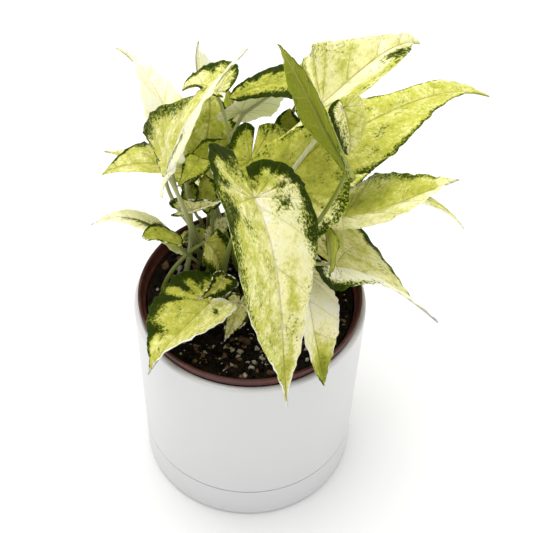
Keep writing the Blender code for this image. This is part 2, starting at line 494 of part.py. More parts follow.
def thicken(points, faces, thickness):
    """A closed plate about a sheet, split into the same triangles above and below."""
    corners = points[faces]
    area = np.cross(corners[:, 1] - corners[:, 0], corners[:, 2] - corners[:, 0])
    normals = np.zeros_like(points)
    for k in range(3):
        np.add.at(normals, faces[:, k], area)
    normals = unit(normals) * thickness / 2
    count = len(points)
    edges = {}
    for face in faces:
        for start, end in ((face[0], face[1]), (face[1], face[2]), (face[2], face[0])):
            edges[(start, end)] = True
    solid = [tuple(face) for face in faces] + [tuple(face[::-1] + count) for face in faces]
    for start, end in edges:
        if (end, start) not in edges:
            solid.append((start, start + count, end + count))
            solid.append((start, end + count, end))
    return np.vstack([points + normals, points - normals]), solid


def tube(path, radii, sides):
    """Points and faces of a closed round rod along a path."""
    path = np.array(path, float)
    steps = unit(np.diff(path, axis=0))
    tangents = unit(np.vstack([steps[:1], steps[1:] + steps[:-1], steps[-1:]]))
    across = unit(np.cross(tangents[0], (0.3, 1.0, 0.2)))
    points = []
    for centre, tangent, radius in zip(path, tangents, radii):
        across = unit(across - np.dot(across, tangent) * tangent)
        other = np.cross(tangent, across)
        for k in range(sides):
            angle = 2 * np.pi * k / sides
            points.append(centre + radius * (np.cos(angle) * across + np.sin(angle) * other))
    faces = [list(range(sides))[::-1], list(range((len(path) - 1) * sides, len(path) * sides))]
    for i in range(len(path) - 1):
        for k in range(sides):
            low, high = i * sides, (i + 1) * sides
            faces.append([low + k, low + (k + 1) % sides, high + (k + 1) % sides, high + k])
    return points, faces


def stalk_radii(spec):
    """Stalk radius at the soil and at the blade, by the blade's size."""
    length = blade_axes(spec)[0]
    if length > 40:
        return 1.7, 1.05
    if length > 24:
        return 1.4, 0.95
    return 1.1, 0.85


def is_large(spec):
    """Large leaves get a finer mesh."""
    return blade_axes(spec)[0] > 48


def stalk_points(spec):
    """How many points the stalk's centre line has."""
    return 8 if is_large(spec) else 7


def stalk_path(spec, count):
    """Centre line of the stalk from its foot in the soil to the blade's base."""
    upper = blade_axes(spec)[2]
    tangent = midrib(spec, 0.015)[1]
    upper = unit(upper - np.dot(upper, tangent) * tangent)
    start = np.array([*spec["foot"], SOIL_LEVEL - STALK_DEPTH], float)
    end = spec["base"] - (stalk_radii(spec)[1] - 0.25) * upper
    t = np.linspace(0, 1, count)[:, None]
    rise, reach = np.array(spec["rise"], float), np.array(spec["reach"], float)
    return (1 - t)**3 * start + 3 * t * (1 - t)**2 * rise + 3 * t * t * (1 - t) * reach + t**3 * end


def build_leaf(spec):
    """Blade, stalk and the thick start of the midrib as one body."""
    large = is_large(spec)
    green = material("leaf_" + spec["tone"], TONES[spec["tone"]], 0.45)
    sheet = blade_sheet(spec, 13 if large else 9, 3 if large else 2)
    blade = add_object("leaf_" + spec["name"], *thicken(*sheet, BLADE_THICKNESS), green)
    foot_radius, top_radius = stalk_radii(spec)
    count = stalk_points(spec)
    path = list(stalk_path(spec, count))
    radii = list(np.linspace(foot_radius, top_radius, count))
    upper = blade_axes(spec)[2]
    for share, radius in ((0.5 * MIDRIB_LENGTH, 0.8), (MIDRIB_LENGTH, 0.5)):
        point, tangent = midrib(spec, share)
        turn = np.radians(spec["twist"]) * share
        normal = turned_about(upper, unit(spec["tip"] - spec["base"]), turn)
        normal = unit(normal - np.dot(normal, tangent) * tangent)
        path.append(point - (radius - 0.25) * normal)
        radii.append(radius)
    stalk = add_object("stalk", *tube(path, radii, STALK_SIDES), green)
    join_bodies(blade, stalk)
    return blade


def main():
    clear_scene()
    build_saucer()
    build_cover_pot()
    build_grow_pot()
    build_soil()
    for spec in LEAVES:
        build_leaf(spec)


main()
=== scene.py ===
"""A potted syngonium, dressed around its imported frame.

Every piece is a surface worked out on a grid of two parameters. Lengths are in millimetres unless a
property has a unit, and are scaled once, where a mesh is made. Z is up and the front is -Y.
"""

import bpy
import numpy as np
from bpy.props import EnumProperty, FloatProperty, FloatVectorProperty, PointerProperty
from mathutils import Matrix, Vector


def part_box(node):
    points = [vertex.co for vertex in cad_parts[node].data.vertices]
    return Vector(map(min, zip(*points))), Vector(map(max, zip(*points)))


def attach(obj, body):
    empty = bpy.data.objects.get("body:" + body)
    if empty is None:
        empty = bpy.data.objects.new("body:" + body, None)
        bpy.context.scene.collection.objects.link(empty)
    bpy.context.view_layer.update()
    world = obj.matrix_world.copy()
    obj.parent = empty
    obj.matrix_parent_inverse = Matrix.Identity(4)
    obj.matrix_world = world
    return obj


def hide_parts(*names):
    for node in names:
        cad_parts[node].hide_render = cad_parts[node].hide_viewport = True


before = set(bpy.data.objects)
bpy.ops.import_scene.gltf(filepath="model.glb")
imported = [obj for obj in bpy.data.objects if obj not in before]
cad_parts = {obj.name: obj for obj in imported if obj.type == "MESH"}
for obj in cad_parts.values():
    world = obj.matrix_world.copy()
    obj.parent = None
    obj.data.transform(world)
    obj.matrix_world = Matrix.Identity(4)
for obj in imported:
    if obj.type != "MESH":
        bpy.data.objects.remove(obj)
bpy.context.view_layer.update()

bl_info = {
    "name": "Potted syngonium",
    "version": (1, 0, 0),
    "blender": (4, 5, 0),
    "location": "View3D > Sidebar > Plant",
    "description": "Builds a variegated arrowhead plant in its pots, with its soil and a plain studio",
    "category": "Add Mesh",
}

MM = 0.001

# The soil's level, how far it is banked up at the wall, and how deep the stalks stand in it.
SOIL_LEVEL = 121.0
SOIL_BANK = 8.0
STALK_DEPTH = 6.0

# Heights of the floors inside the pots. What stands in a pot is FLOOR_GAP above that pot's floor.
FLOOR_GAP = 0.3
SAUCER_FLOOR = 4.0
COVER_POT_FLOOR = SAUCER_FLOOR + FLOOR_GAP + 5.0
GROW_POT_FLOOR = COVER_POT_FLOOR + FLOOR_GAP + 1.4
DRAIN_RADIUS = 6.0
POT_SIDES = 192
# From the outside of the lip in to the side of the soil, and to the outermost grains.
LIP_TO_SOIL = 6.4
LIP_TO_GRAINS = 7.2

# Side veins stand at equal steps along the outline. Each starts on the midrib nearer to the stalk than it
# ends, by VEIN_LEAN of the outline's half width there.
SIDE_VEINS = 10
VEIN_LEAN = 0.75
# Blades longer than these have a finer grid and a thicker stalk.
LARGE_BLADE = 40.0
MIDDLE_BLADE = 24.0
# Relief of a blade: the nibbles in its outline as a share of the half width, one long wave of the margin,
# and the margin's ruffle and the pillows between the veins as shares of the blade's whole width.
NIBBLE = 0.8 / 26
MARGIN_WAVE = 0.6
RUFFLE = 0.9 / 50
PILLOW = 0.85 / 60
# How much thicker a blade is at its midrib, and how far from it that fades.
MIDRIB_SWELL = 0.25
MIDRIB_REACH = 1.6

# Half outlines from the lobe to the tip: (share of the length, or below 0 of the lobe, and share of the
# half width). A leaf's seven trims stand at the stations, which count the outline's points, and the tip
# has none.
TRIM_STATIONS = (0, 1.5, 3.5, 5.5, 7.5, 9.5, 11.5, 13)
ARROWHEAD = ((-0.90, 0.12), (-1.0, 0.32), (-0.95, 0.55), (-0.70, 0.80), (-0.30, 0.95), (0.02, 1.0),
             (0.18, 0.96), (0.34, 0.83), (0.50, 0.64), (0.65, 0.43), (0.78, 0.25), (0.88, 0.12),
             (0.95, 0.045), (1.0, 0.0))
ROUND = ((-0.90, 0.12), (-1.0, 0.32), (-0.95, 0.6), (-0.65, 0.86), (-0.25, 0.98), (0.1, 1.0),
         (0.3, 0.97), (0.48, 0.90), (0.64, 0.78), (0.78, 0.60), (0.89, 0.38), (0.95, 0.22),
         (0.985, 0.10), (1.0, 0.0))

PLAIN_LEAF = dict(roll=0, twist=0, bow=0, sway=0, late=(0, 0), fold=(0, 0), curl=(0, 0), lift=0, trim=0,
                  outline=ARROWHEAD, tone="green")
LEAVES = {}


def several(value, count):
    """A tuple as it is, or a single number count times."""
    return value if isinstance(value, tuple) else (value,) * count


def leaf(name, base, tip, **shape):
    """Note one leaf. Pairs are (left, right) as seen from the stalk towards the tip, upper side up.

    base and tip: ends of the midrib. wide and lobes: half widths and lobe lengths. foot: where the stalk
    stands in the soil. rise and reach: control points of the stalk's curve. roll and twist: turn of
    the blade about its midrib. bow and sway: how far the midrib curves up and to the left. late: how
    much it turns (up, left) only near the tip. fold and curl: how the sides lift and roll. lift: how
    the lobes drop behind the stalk. trim: how far the margin stands out past the outline. tone: the
    leaf's tone, which sets how pale its stalk is.
    """
    LEAVES[name] = dict(PLAIN_LEAF, name=name, base=np.array(base, float), tip=np.array(tip, float),
                        number=len(LEAVES), **shape)


leaf("front_long", base=(1, -27, 238), tip=(20, -88, 148), wide=(32, 39), lobes=(18, 28), foot=(-15, 9),
     rise=(-20, 4, 164), reach=(2, 2, 211), roll=-17, twist=18, bow=22, sway=7, late=(9, 10),
     fold=(-3, 33), curl=(-13, 10), lift=7, trim=((-2, 0, 3, 2, -6, 0, -2), (-4, 7, -3, 0, 3, -4, -2)))
leaf("front_right", base=(28, -19, 175), tip=(40, -64, 134), wide=(32, 23), lobes=(18, 17), foot=(28, 9),
     rise=(27, 4, 148), reach=(30, -3, 161), roll=-45, twist=20, bow=4, sway=-7, fold=(7, 26),
     curl=(-22, -7), trim=((0, 0, 0, 0, 1, 2, 1), (0, 0, 0, -1, 1, 3, 2)), tone="cream")
leaf("right_droop", base=(46, -10, 169), tip=(101, -35, 153), wide=(39, 21), lobes=(15, 16),
     foot=(37, 12), rise=(60, 8, 145), reach=(41, -8, 158), roll=-27, twist=-36, bow=6, sway=8,
     late=(3, 2), fold=(3, 1), curl=(26, -12), lift=20,
     trim=((1, 2, 5, 8, -3, -4, -2), (-1, 0, 5, -2, -4, -3, -3)), tone="pale")
leaf("right_mid", base=(51, 15, 182), tip=(112, 25, 202), wide=(46, 28), lobes=(17, 18), foot=(20, 1),
     rise=(8, 13, 160), reach=(40, -12, 208), roll=-11, twist=23, bow=-2, sway=-8, late=(-2, -5),
     fold=(-8, 36), curl=(-17, -19), lift=-1, trim=((0, 0, -1, 2, 3, 1, 1), (0, 0, 0, 0, 0, -1, -4)),
     tone="pale")
leaf("right_low", base=(57, 45, 153), tip=(126, 53, 134), wide=(11, 12), lobes=(20, 20), foot=(36, 36),
     rise=(35, 39, 133), reach=(46, 31, 138), roll=-12, twist=3, bow=12, sway=3, late=(-3, 0),
     fold=(1, 6), curl=(-14, -9), trim=(0, (0, 0, 0, 0, 0, 1, 2)), tone="pale")
leaf("right_upper", base=(49, 58, 201), tip=(141, 115, 183), wide=(17, 31), lobes=(29, 21), foot=(9, 38),
     rise=(-4, 59, 141), reach=(55, 38, 158), roll=11, twist=-23, bow=2, sway=-1, late=(-8, -5),
     fold=(15, 28), curl=(-7, -23), lift=1, trim=((0, 0, 0, 0, -4, 8, 5), (1, 1, 3, 1, -3, -2, -1)))
leaf("folded_strip", base=(46, -29, 260), tip=(11, 22, 295), wide=(30, 19), lobes=(3, 3), foot=(2, 14),
     rise=(-5, -106, 276), reach=(29, 12, 144), roll=70, twist=29, bow=-3, sway=5, late=(-3, 0),
     fold=(3, 1), curl=(-32, -16), lift=2, trim=((0, 0, 0, 0, -2, -2, 0), (0, 0, -1, -8, 5, 8, 0)))
leaf("top_right", base=(36, 30, 250), tip=(86, 60, 266), wide=(30, 30), lobes=(19, 16), foot=(-7, 32),
     rise=(10, 60, 191), reach=(25, 84, 197), roll=6, twist=27, bow=14, sway=-11, late=(-5, -5),
     fold=(20, 41), curl=(-24, 7), lift=3, trim=((-8, -3, 3, 3, -7, -3, 4), (0, 0, 0, 0, -1, 0, -3)),
     tone="cream")
leaf("young_round", base=(43, -3, 277), tip=(47, -10, 253), wide=(12, 13), lobes=(4, 5), foot=(26, 30),
     rise=(-29, -28, 193), reach=(43, 15, 255), roll=-14, twist=-1, bow=2, fold=(14, 20), curl=(-13, -6),
     lift=-3, trim=((-1, 0, 0, 0, 0, 1, 0), (-1, 0, 0, 0, 0, -1, 0)), outline=ROUND, tone="cream")
leaf("center_right", base=(16, 8, 209), tip=(47, 45, 220), wide=(26, 37), lobes=(19, 27), foot=(23, 17),
     rise=(39, 11, 150), reach=(12, 9, 183), roll=24, twist=9, bow=4, sway=5, late=(0, 3), fold=(24, 31),
     curl=(-7, 3), lift=-1, trim=((0, 0, -1, -3, -2, 2, 1), (-1, -1, 0, 2, 4, 0, 0)), tone="olive")
leaf("center_back", base=(-1, 35, 204), tip=(3, 4, 166), wide=(24, 14), lobes=(22, 20), foot=(9, 26),
     rise=(-7, 41, 167), reach=(4, 49, 190), roll=8, bow=3, sway=-3, fold=(15, 11), curl=(-12, -9),
     lift=1, trim=((-2, 0, 3, -2, -1, 0, 0), (-1, 1, 0, 0, 0, 0, 0)))
leaf("dark_back", base=(20, 45, 203), tip=(20, 60, 220), wide=(12, 16), lobes=(6, 6), foot=(-3, 44),
     rise=(-4, 53, 138), reach=(22, 54, 185), roll=-1, twist=-1, bow=2, sway=1, fold=(14, 13),
     curl=(-9, -10), trim=((0, 0, 0, 0, 0, 3, 2), (0, 0, 0, 0, 1, 2, 1)), tone="dark")
leaf("pale_back", base=(-6, 67, 210), tip=(29, 87, 225), wide=(27, 17), lobes=(10, 12), foot=(-12, 37),
     rise=(-25, 25, 142), reach=(-29, 45, 171), roll=-69, twist=-14, bow=-2, sway=-5, fold=(7, 12),
     curl=(-17, -11), lift=2, trim=((0, 0, 0, 0, 1, 0, 0), 0), tone="cream")
leaf("arched", base=(27, 60, 240), tip=(-13, 54, 232), wide=(14, 16), lobes=(11, 11), foot=(3, 46),
     rise=(-14, 69, 167), reach=(31, 87, 193), roll=-2, twist=-23, bow=2, sway=-1, fold=(5, 5),
     curl=(-1, -32), trim=((0, 0, 0, 0, -1, 1, 4), (0, 0, 0, 0, 0, 2, 3)), tone="dark")
leaf("top_left_pale", base=(-42, 47, 212), tip=(-77, 94, 232), wide=(33, 18), lobes=(17, 4),
     foot=(-43, 15), rise=(-29, 10, 154), reach=(-33, 35, 170), roll=17, twist=17, bow=4, sway=2,
     late=(-3, 2), fold=(38, 26), curl=(-18, -10),
     trim=((0, 0, 1, 2, 1, -2, -1), (-10, -12, -12, -4, -3, 0, 2)), tone="cream")
leaf("top_small", base=(-25, 118, 168), tip=(-32, 108, 227), wide=(22, 23), lobes=(16, 16),
     foot=(-19, 38), rise=(-24, 38, 149), reach=(-37, 113, 150), roll=-27, twist=-10, bow=-1, sway=-3,
     late=(2, 0), fold=(3, 34), curl=(-12, 7), tone="cream")
leaf("top_left_green", base=(-20, 60, 231), tip=(-39, 67, 225), wide=(16, 19), lobes=(6, 5),
     foot=(-27, 22), rise=(-25, 25, 141), reach=(2, 34, 185), roll=9, twist=-11, bow=3, sway=-1,
     fold=(33, 32), curl=(1, -10), trim=(0, (0, 0, 0, 0, 0, 1, 2)))
leaf("left_big", base=(-42, -17, 242), tip=(-3, 14, 298), wide=(35, 35), lobes=(5, 6), foot=(-26, 33),
     rise=(-37, 17, 176), reach=(-28, -18, 204), roll=-40, twist=-10, bow=12, sway=-6, late=(5, 0),
     fold=(9, 4), curl=(26, -16), lift=20,
     trim=((1, 1, 3, 7, -3, -8, -1), (-20, -20, -18, -17, 6, -2, -1)), tone="pale")
leaf("left_out", base=(-44, 38, 195), tip=(-83, 38, 188), wide=(14, 27), lobes=(11, 11), foot=(-16, 17),
     rise=(-23, 17, 158), reach=(-42, 34, 159), roll=11, twist=-24, bow=7, sway=4, fold=(19, 10),
     curl=(-4, -43), trim=(0, (0, 0, 0, 1, 0, 2, 0)), tone="pale")
leaf("left_tip", base=(-51, 78, 162), tip=(-84, 60, 185), wide=(15, 15), lobes=(12, 12), foot=(-17, 23),
     rise=(-18, 28, 150), reach=(-56, 68, 127), roll=4, twist=2, bow=1, sway=3, fold=(13, 9),
     curl=(-10, -12), tone="cream")
leaf("olive_mid", base=(-29, 67, 174), tip=(-25, 87, 216), wide=(24, 26), lobes=(11, 11), foot=(-5, 27),
     rise=(-17, 27, 159), reach=(-28, 77, 154), roll=9, twist=1, bow=3, sway=-2, fold=(16, 12),
     curl=(-9, -11), trim=(0, (0, 0, 0, 0, 0, 0, -1)), tone="olive")
leaf("olive_low", base=(-34, 50, 183), tip=(-12, 54, 203), wide=(17, 11), lobes=(3, 8), foot=(-27, 39),
     rise=(-25, 47, 152), reach=(-21, 49, 164), roll=-1, twist=18, bow=1, sway=-1, fold=(-3, 3),
     curl=(-15, -7), lift=-5, trim=((0, 0, 0, 0, 1, 1, 0), (0, 0, 0, 0, 0, 2, 2)), tone="olive")
leaf("amber_back", base=(-13, 80, 178), tip=(-19, 87, 215), wide=(8, 14), lobes=(10, 10), foot=(-2, 37),
     rise=(1, 51, 149), reach=(-30, 74, 167), roll=91, twist=5, bow=7, sway=-1, fold=(-6, 9),
     curl=(-29, -12), tone="olive")
leaf("curl_small", base=(-30, 38, 199), tip=(-40, 16, 202), wide=(8, 8), lobes=(6, 6), foot=(8, 18),
     rise=(10, 24, 168), reach=(-9, 52, 170), roll=-9, twist=-1, bow=1, sway=1, fold=(12, 15),
     curl=(-11, -10), tone="cream")
leaf("mid_green", base=(-24, 27, 179), tip=(-26, 44, 185), wide=(8, 11), lobes=(5, 5), foot=(-23, 2),
     rise=(-22, 2, 145), reach=(-20, 29, 169), roll=-75, twist=13, bow=2, sway=-1, fold=(25, -12),
     curl=(-7, -28), trim=((0, 0, 0, 0, 0, 1, 1), (0, 0, 0, -1, 2, 1, 0)), tone="dark")
leaf("mid_dark", base=(-33, 36, 170), tip=(-38, 53, 177), wide=(7, 8), lobes=(5, 5), foot=(-13, 29),
     rise=(-17, 23, 145), reach=(-12, 35, 151), roll=-39, twist=1, bow=1, fold=(14, 11), curl=(-10, -12),
     tone="dark")
leaf("folded_small", base=(-32, 22, 178), tip=(-15, 22, 186), wide=(8, 9), lobes=(12, 10), foot=(-22, 42),
     rise=(-35, 60, 153), reach=(-27, 26, 157), roll=23, twist=-2, bow=2, sway=-1, fold=(45, 51),
     curl=(8, 7), lift=27, trim=((1, 1, 2, -1, -1, -1, 0), (1, 1, 1, 0, 0, 0, 0)), tone="pale")
leaf("left_low_long", base=(-47, 19, 160), tip=(-89, 19, 168), wide=(16, 20), lobes=(12, 12),
     foot=(-21, 33), rise=(-28, 43, 137), reach=(-41, 21, 133), roll=15, twist=-6, bow=6, late=(-2, 0),
     fold=(15, -1), curl=(-11, -29), trim=((0, 0, 0, 0, 0, -1, 0), (0, 0, 0, 0, 0, 1, 0)), tone="cream")
leaf("left_low_small", base=(-41, 4, 171), tip=(-59, -1, 180), wide=(6, 13), lobes=(4, 4), foot=(-32, 29),
     rise=(-28, 19, 144), reach=(-30, 9, 146), roll=12, twist=-22, bow=1, sway=-2, fold=(12, 1),
     curl=(2, -7), trim=((0, 0, 0, 0, 0, 2, 3), (0, 0, -1, 0, 2, 2, 1)))
leaf("left_low_round", base=(-39, 33, 142), tip=(-25, 31, 150), wide=(10, 8), lobes=(4, 4),
     foot=(-33, 38), rise=(-34, 36, 124), reach=(-37, 35, 137), roll=-23, twist=26, fold=(15, 0),
     curl=(-6, -5), lift=-4, trim=(0, (0, 0, -1, -2, 1, 2, 1)), outline=ROUND)
leaf("cup_round", base=(-25, 10, 165), tip=(-19, 11, 140), wide=(11, 15), lobes=(1, 1), foot=(-50, 7),
     rise=(-55, 3, 139), reach=(-33, 18, 153), roll=35, twist=13, bow=3, sway=1, fold=(33, 25),
     curl=(-7, -6), lift=3, trim=((0, 0, 0, -1, 0, 1, 0), 0), outline=ROUND, tone="dark")
leaf("cream_curl", base=(-22, 23, 155), tip=(-13, 27, 168), wide=(8, 7), lobes=(5, 5), foot=(-11, 20),
     rise=(-15, 21, 125), reach=(-18, 23, 135), roll=4, twist=8, fold=(5, 1), curl=(-15, -12),
     trim=((0, 0, 0, -1, 1, 2, 1), (0, 0, 0, 0, 0, 2, 2)), tone="cream")
leaf("small_dark", base=(-16, -22, 171), tip=(-29, -28, 161), wide=(9, 7), lobes=(5, 5), foot=(-6, 13),
     rise=(-9, 7, 132), reach=(-10, -7, 162), roll=-73, twist=-7, bow=1, sway=1, fold=(22, 25),
     curl=(-3, -6), lift=5, trim=((0, 1, 2, 0, -1, -1, 0), (0, 0, 1, 0, -1, 0, 0)), tone="dark")
leaf("lower_left", base=(-22, -25, 154), tip=(-53, -66, 144), wide=(31, 29), lobes=(6, 16),
     foot=(-17, -3), rise=(-20, -1, 132), reach=(-20, -19, 148), roll=11, twist=23, bow=1, sway=2,
     late=(-2, 2), fold=(25, 16), curl=(-24, -4), lift=2,
     trim=((-8, -14, -14, -8, -3, -5, -4), (0, 1, -1, -3, 5, 3, 0)))
leaf("small_front", base=(-6, -13, 140), tip=(-14, -32, 130), wide=(8, 8), lobes=(6, 6), foot=(-7, 6),
     rise=(-7, 0, 123), reach=(-9, -9, 138), roll=-1, twist=-3, bow=1, sway=1, fold=(16, 17),
     curl=(-7, -9), trim=((0, 0, 0, -1, 2, 0, 0), (0, 0, 1, 1, -1, 1, 0)), tone="pale")
leaf("curl_right", base=(41, -32, 196), tip=(38, -10, 204), wide=(14, 8), lobes=(6, 6), foot=(-1, 20),
     rise=(-10, 0, 170), reach=(0, -39, 202), roll=84, twist=20, bow=1, fold=(15, 1), curl=(-5, -9),
     lift=-1, trim=((0, 0, 0, 0, 1, 1, 0), (0, 0, 0, 0, 0, 2, 3)))
leaf("rear_mid", base=(4, 75, 143), tip=(12, 110, 139), wide=(13, 13), lobes=(10, 10), foot=(4, 35),
     rise=(1, 30, 136), reach=(5, 68, 138), bow=3, fold=(14, 14), curl=(-10, -10))
leaf("rear_right", base=(35, 66, 146), tip=(73, 96, 137), wide=(13, 18), lobes=(14, 14), foot=(28, 22),
     rise=(40, 25, 140), reach=(30, 53, 134), roll=5, bow=4, fold=(14, 14), curl=(-10, -10))
leaf("rear_left", base=(-26, 66, 150), tip=(-54, 94, 148), wide=(14, 14), lobes=(11, 11), foot=(-12, 42),
     rise=(-15, 44, 135), reach=(-23, 57, 143), roll=-5, bow=3, fold=(14, 14), curl=(-10, -10))

# How pale a tone's stalks are.
TONE_STALK = {"cream": 0.8, "pale": 0.6, "green": 0.3, "olive": 0.2, "dark": 0.1}
PAINT = {}


def paint(name, green, edge, band=0.3, spots=0.25, white=0.35, patches=(), tints=(), stalk=None):
    """Note a leaf's variegation. Pairs are (left, right) as in leaf(), and one number serves both.

    green: 0 is cream, 0.5 yellow-green and 1 olive. edge: how dark the margin is, as one number or at
    five places from the lobe's inner edge to the tip. band: the margin's share of the half width.
    spots: dark flecks along the side veins. white: the pale line outside the margin. patches: (side,
    place along the outline, place across, reach along, reach across, how dark), where side is 1 on the
    left and -1 on the right and a dark below 0 clears. tints: the same for the share of green. stalk:
    how pale the stalk is, by the leaf's tone unless given.
    """
    stalk = TONE_STALK[LEAVES[name]["tone"]] if stalk is None else stalk
    PAINT[name] = dict(green=several(green, 2), edge=[several(half, 5) for half in several(edge, 2)],
                       band=several(band, 2), spots=several(spots, 2), white=several(white, 2),
                       patches=patches, tints=tints, stalk=stalk)


paint("front_long", green=(0.07, 0.31), edge=((1.2, 1.2, 0.75, -0.3, -0.1), (1.2, 0.95, 0.5, 0.2, 0.1)),
      band=(0.33, 0.22), spots=(0.3, 0.4), white=(0.7, 0.8),
      patches=((1, 0.3, 0.55, 0.05, 0.18, 0.45), (1, 0.43, 0.45, 0.04, 0.16, 0.5),
               (-1, 0.3, 0.72, 0.04, 0.14, 0.55), (-1, 0.42, 0.75, 0.05, 0.16, 0.55),
               (1, 0.7, 0.6, 0.05, 0.3, 0.12), (1, 0.55, 0.72, 0.05, 0.3, -0.5),
               (1, 0.04, 0.75, 0.09, 0.5, 0.5), (-1, 0.06, 0.75, 0.1, 0.35, 0.5)),
      tints=((-1, 0.88, 0.5, 0.14, 1, 0.22), (1, 0.8, 0.4, 0.1, 0.4, 0.35),
             (1, 0.62, 0.5, 0.05, 0.3, 0.3), (1, 0.2, 0.6, 0.12, 0.6, 0.2),
             (-1, 0.15, 0.6, 0.12, 0.5, -0.12), (-1, 0.45, 0.1, 0.3, 0.3, -0.1),
             (1, 0.45, 0.1, 0.2, 0.2, -0.2), (1, 0.1, 0.5, 0.15, 0.6, 0.3),
             (-1, 0.1, 0.5, 0.15, 0.6, 0.25)))
paint("front_right", green=(-0.12, -0.14), edge=((0, 0, 0, 0.2, 0.3), (0, 0, 0, 0.3, 0.6)), spots=0.15,
      white=0.6, patches=((1, 0.86, 0.4, 0.1, 1.5, 0.2), (-1, 0.93, 0.4, 0.1, 1.5, 0.35)),
      tints=((1, 0.88, 0.4, 0.15, 1.5, 1.15), (-1, 0.88, 0.4, 0.15, 1.5, 1.15),
             (1, 0.3, 0.3, 0.2, 0.5, 0.1)))
paint("right_droop", green=(0.2, -0.35), edge=((0.8, 0.95, 0.95, 0.6, 0), (1.2, 1.1, 0.5, 0, 0)),
      band=(0.12, 0.3), spots=(0.3, 0.25), white=(0.3, 0.7),
      patches=((-1, 0.12, 0.75, 0.12, 0.3, 0.5), (-1, 0.36, 0.8, 0.05, 0.2, 0.45)))
paint("right_mid", green=(0.34, 0.12), edge=((0.2, 0.5, 0.6, 0.6, 0.1), (0.1, 0.2, 0.2, 0.1, 0)),
      band=(0.35, 0.25), spots=(0.28, 0.2), white=(0.3, 0.7),
      tints=((1, 0.5, 0.25, 0.25, 0.25, 0.4), (-1, 0.55, 0.2, 0.2, 0.2, 0.35),
             (1, 0.95, 0.5, 0.08, 1, -0.5)))
paint("right_low", green=(0.4, 0.2), edge=((0.9, 0.9, 0.9, 0.7, 0.1), 0.1), white=(0.3, 0.7))
paint("right_upper", green=(0.36, 0.42), edge=((0.6, 0.6, 0.55, 0.65, 0.8), (0.7, 0.72, 0.7, 0.65, 0.7)),
      band=(0.12, 0.13), spots=(0.38, 0.42), white=(0, 0.1))
paint("folded_strip", green=(1.05, 1), edge=(0.6, (0.5, 0.5, 0.4, 0.3, 0.1)), spots=(0.42, 0.4),
      white=0.5, stalk=0, tints=((1, 1, 0.5, 0.1, 1.5, -1), (-1, 1, 0.5, 0.1, 1.5, -1)))
paint("top_right", green=(0.05, 0.03), edge=((0.6, 0.5, 0.3, 0.1, 0.1), (0.1, 0.2, 0.3, 0.4, 0.7)),
      band=(0.4, 0.35), spots=(0.2, 0.18), white=0.1,
      patches=((1, 0.22, 0.6, 0.09, 0.3, 0.35), (-1, 0.72, 0.6, 0.06, 0.35, 0.7),
               (-1, 0.5, 0.6, 0.05, 0.25, 0.3)),
      tints=((1, 0.3, 0.55, 0.03, 0.4, 0.5), (1, 0.4, 0.5, 0.03, 0.4, 0.45),
             (1, 0.5, 0.5, 0.03, 0.4, 0.4), (1, 0.6, 0.5, 0.03, 0.35, 0.35),
             (-1, 0.5, 0.9, 0.2, 0.25, 0.4)))
paint("young_round", green=(0.36, 0.12), edge=((0.2, 0.1, 0.1, 0.3, 0.7), (1, 1.15, 1, 0.9, 0.8)),
      band=(0.3, 0.4), spots=(0.05, 0.38), white=(0.2, 0), patches=((-1, 0.7, 0.4, 0.2, 0.5, 0.25),),
      stalk=1.3)
paint("center_right", green=(0.52, 0.58), edge=((0.5, 0.4, 0.4, 0.45, 0.5), (0.5, 0.6, 0.6, 0.55, 0.55)),
      band=(0.2, 0.26), spots=(0.36, 0.42), white=0,
      tints=((-1, 0.25, 0.8, 0.15, 0.4, -0.45), (-1, 0.45, 0.9, 0.2, 0.25, -0.3),
             (1, 0.3, 0.4, 0.15, 0.4, 0.2)))
paint("center_back", green=(0.5, 0.6), edge=((0.5, 0.5, 0.6, 0.7, 0.5), (1.1, 1.05, 0.8, 0.5, 0.4)),
      spots=0.38, white=0)
paint("dark_back", green=0.9, edge=1.2, band=0.5, spots=0.5, white=0)
paint("pale_back", green=-0.7, edge=0, spots=0)
paint("arched", green=0.58, edge=((0.9, 0.95, 0.95, 0.95, 0.95), (1, 1.1, 1.1, 1.1, 1)), band=(0.55, 0.5),
      spots=(0.5, 0.6), white=0)
paint("top_left_pale", green=(-0.2, -0.18), edge=((0, 0, 0, 0.1, 0.1), 0), spots=0.05)
paint("top_small", green=-0.2, edge=0, spots=0)
paint("top_left_green", green=(0.42, 0.2), edge=((0.8, 0.85, 0.9, 0.9, 0.8), 0.8), band=(0.4, 0.35),
      spots=(0.45, 0.4), white=0)
paint("left_big", green=(0.36, -0.08), edge=((0.7, 0.75, 0.7, 0.4, 0.1), (0.1, 0.1, 0.1, 0.1, 0)),
      band=(0.36, 0.2), spots=(0.25, 0.3), white=(0, 0.6), patches=((-1, 0.55, 0.5, 0.07, 0.16, 0.5),))
paint("left_out", green=(0.34, 0.32), edge=((0.2, 0.2, 0.2, 0.2, 0.3), (0.2, 0.3, 0.75, 0.85, 0.5)),
      band=(0.25, 0.35), spots=0.3, white=(0.3, 0.4))
paint("left_tip", green=0.2, edge=0.3)
paint("olive_mid", green=(0.38, 0.4), edge=(0.5, (0.3, 0.5, 1, 1, 0.8)), spots=0.36)
paint("olive_low", green=(0.95, 1), edge=((1.2, 1.2, 1.2, 1.1, 0.9), 0.9), spots=0.5, white=0)
paint("amber_back", green=0.6, edge=0.3)
paint("curl_small", green=0.8, edge=0.8, spots=0.4)
paint("mid_green", green=0.7, edge=1.1, spots=0.55)
paint("mid_dark", green=0.9, edge=1.3, spots=0.8, white=0)
paint("folded_small", green=0.05, edge=0.9, white=1, spots=0.45)
paint("left_low_long", green=-0.1, edge=0, spots=0.1, white=0.6,
      patches=((1, 0.55, 0.1, 0.18, 0.5, 0.85), (-1, 0.45, 0.1, 0.14, 0.45, 0.8)))
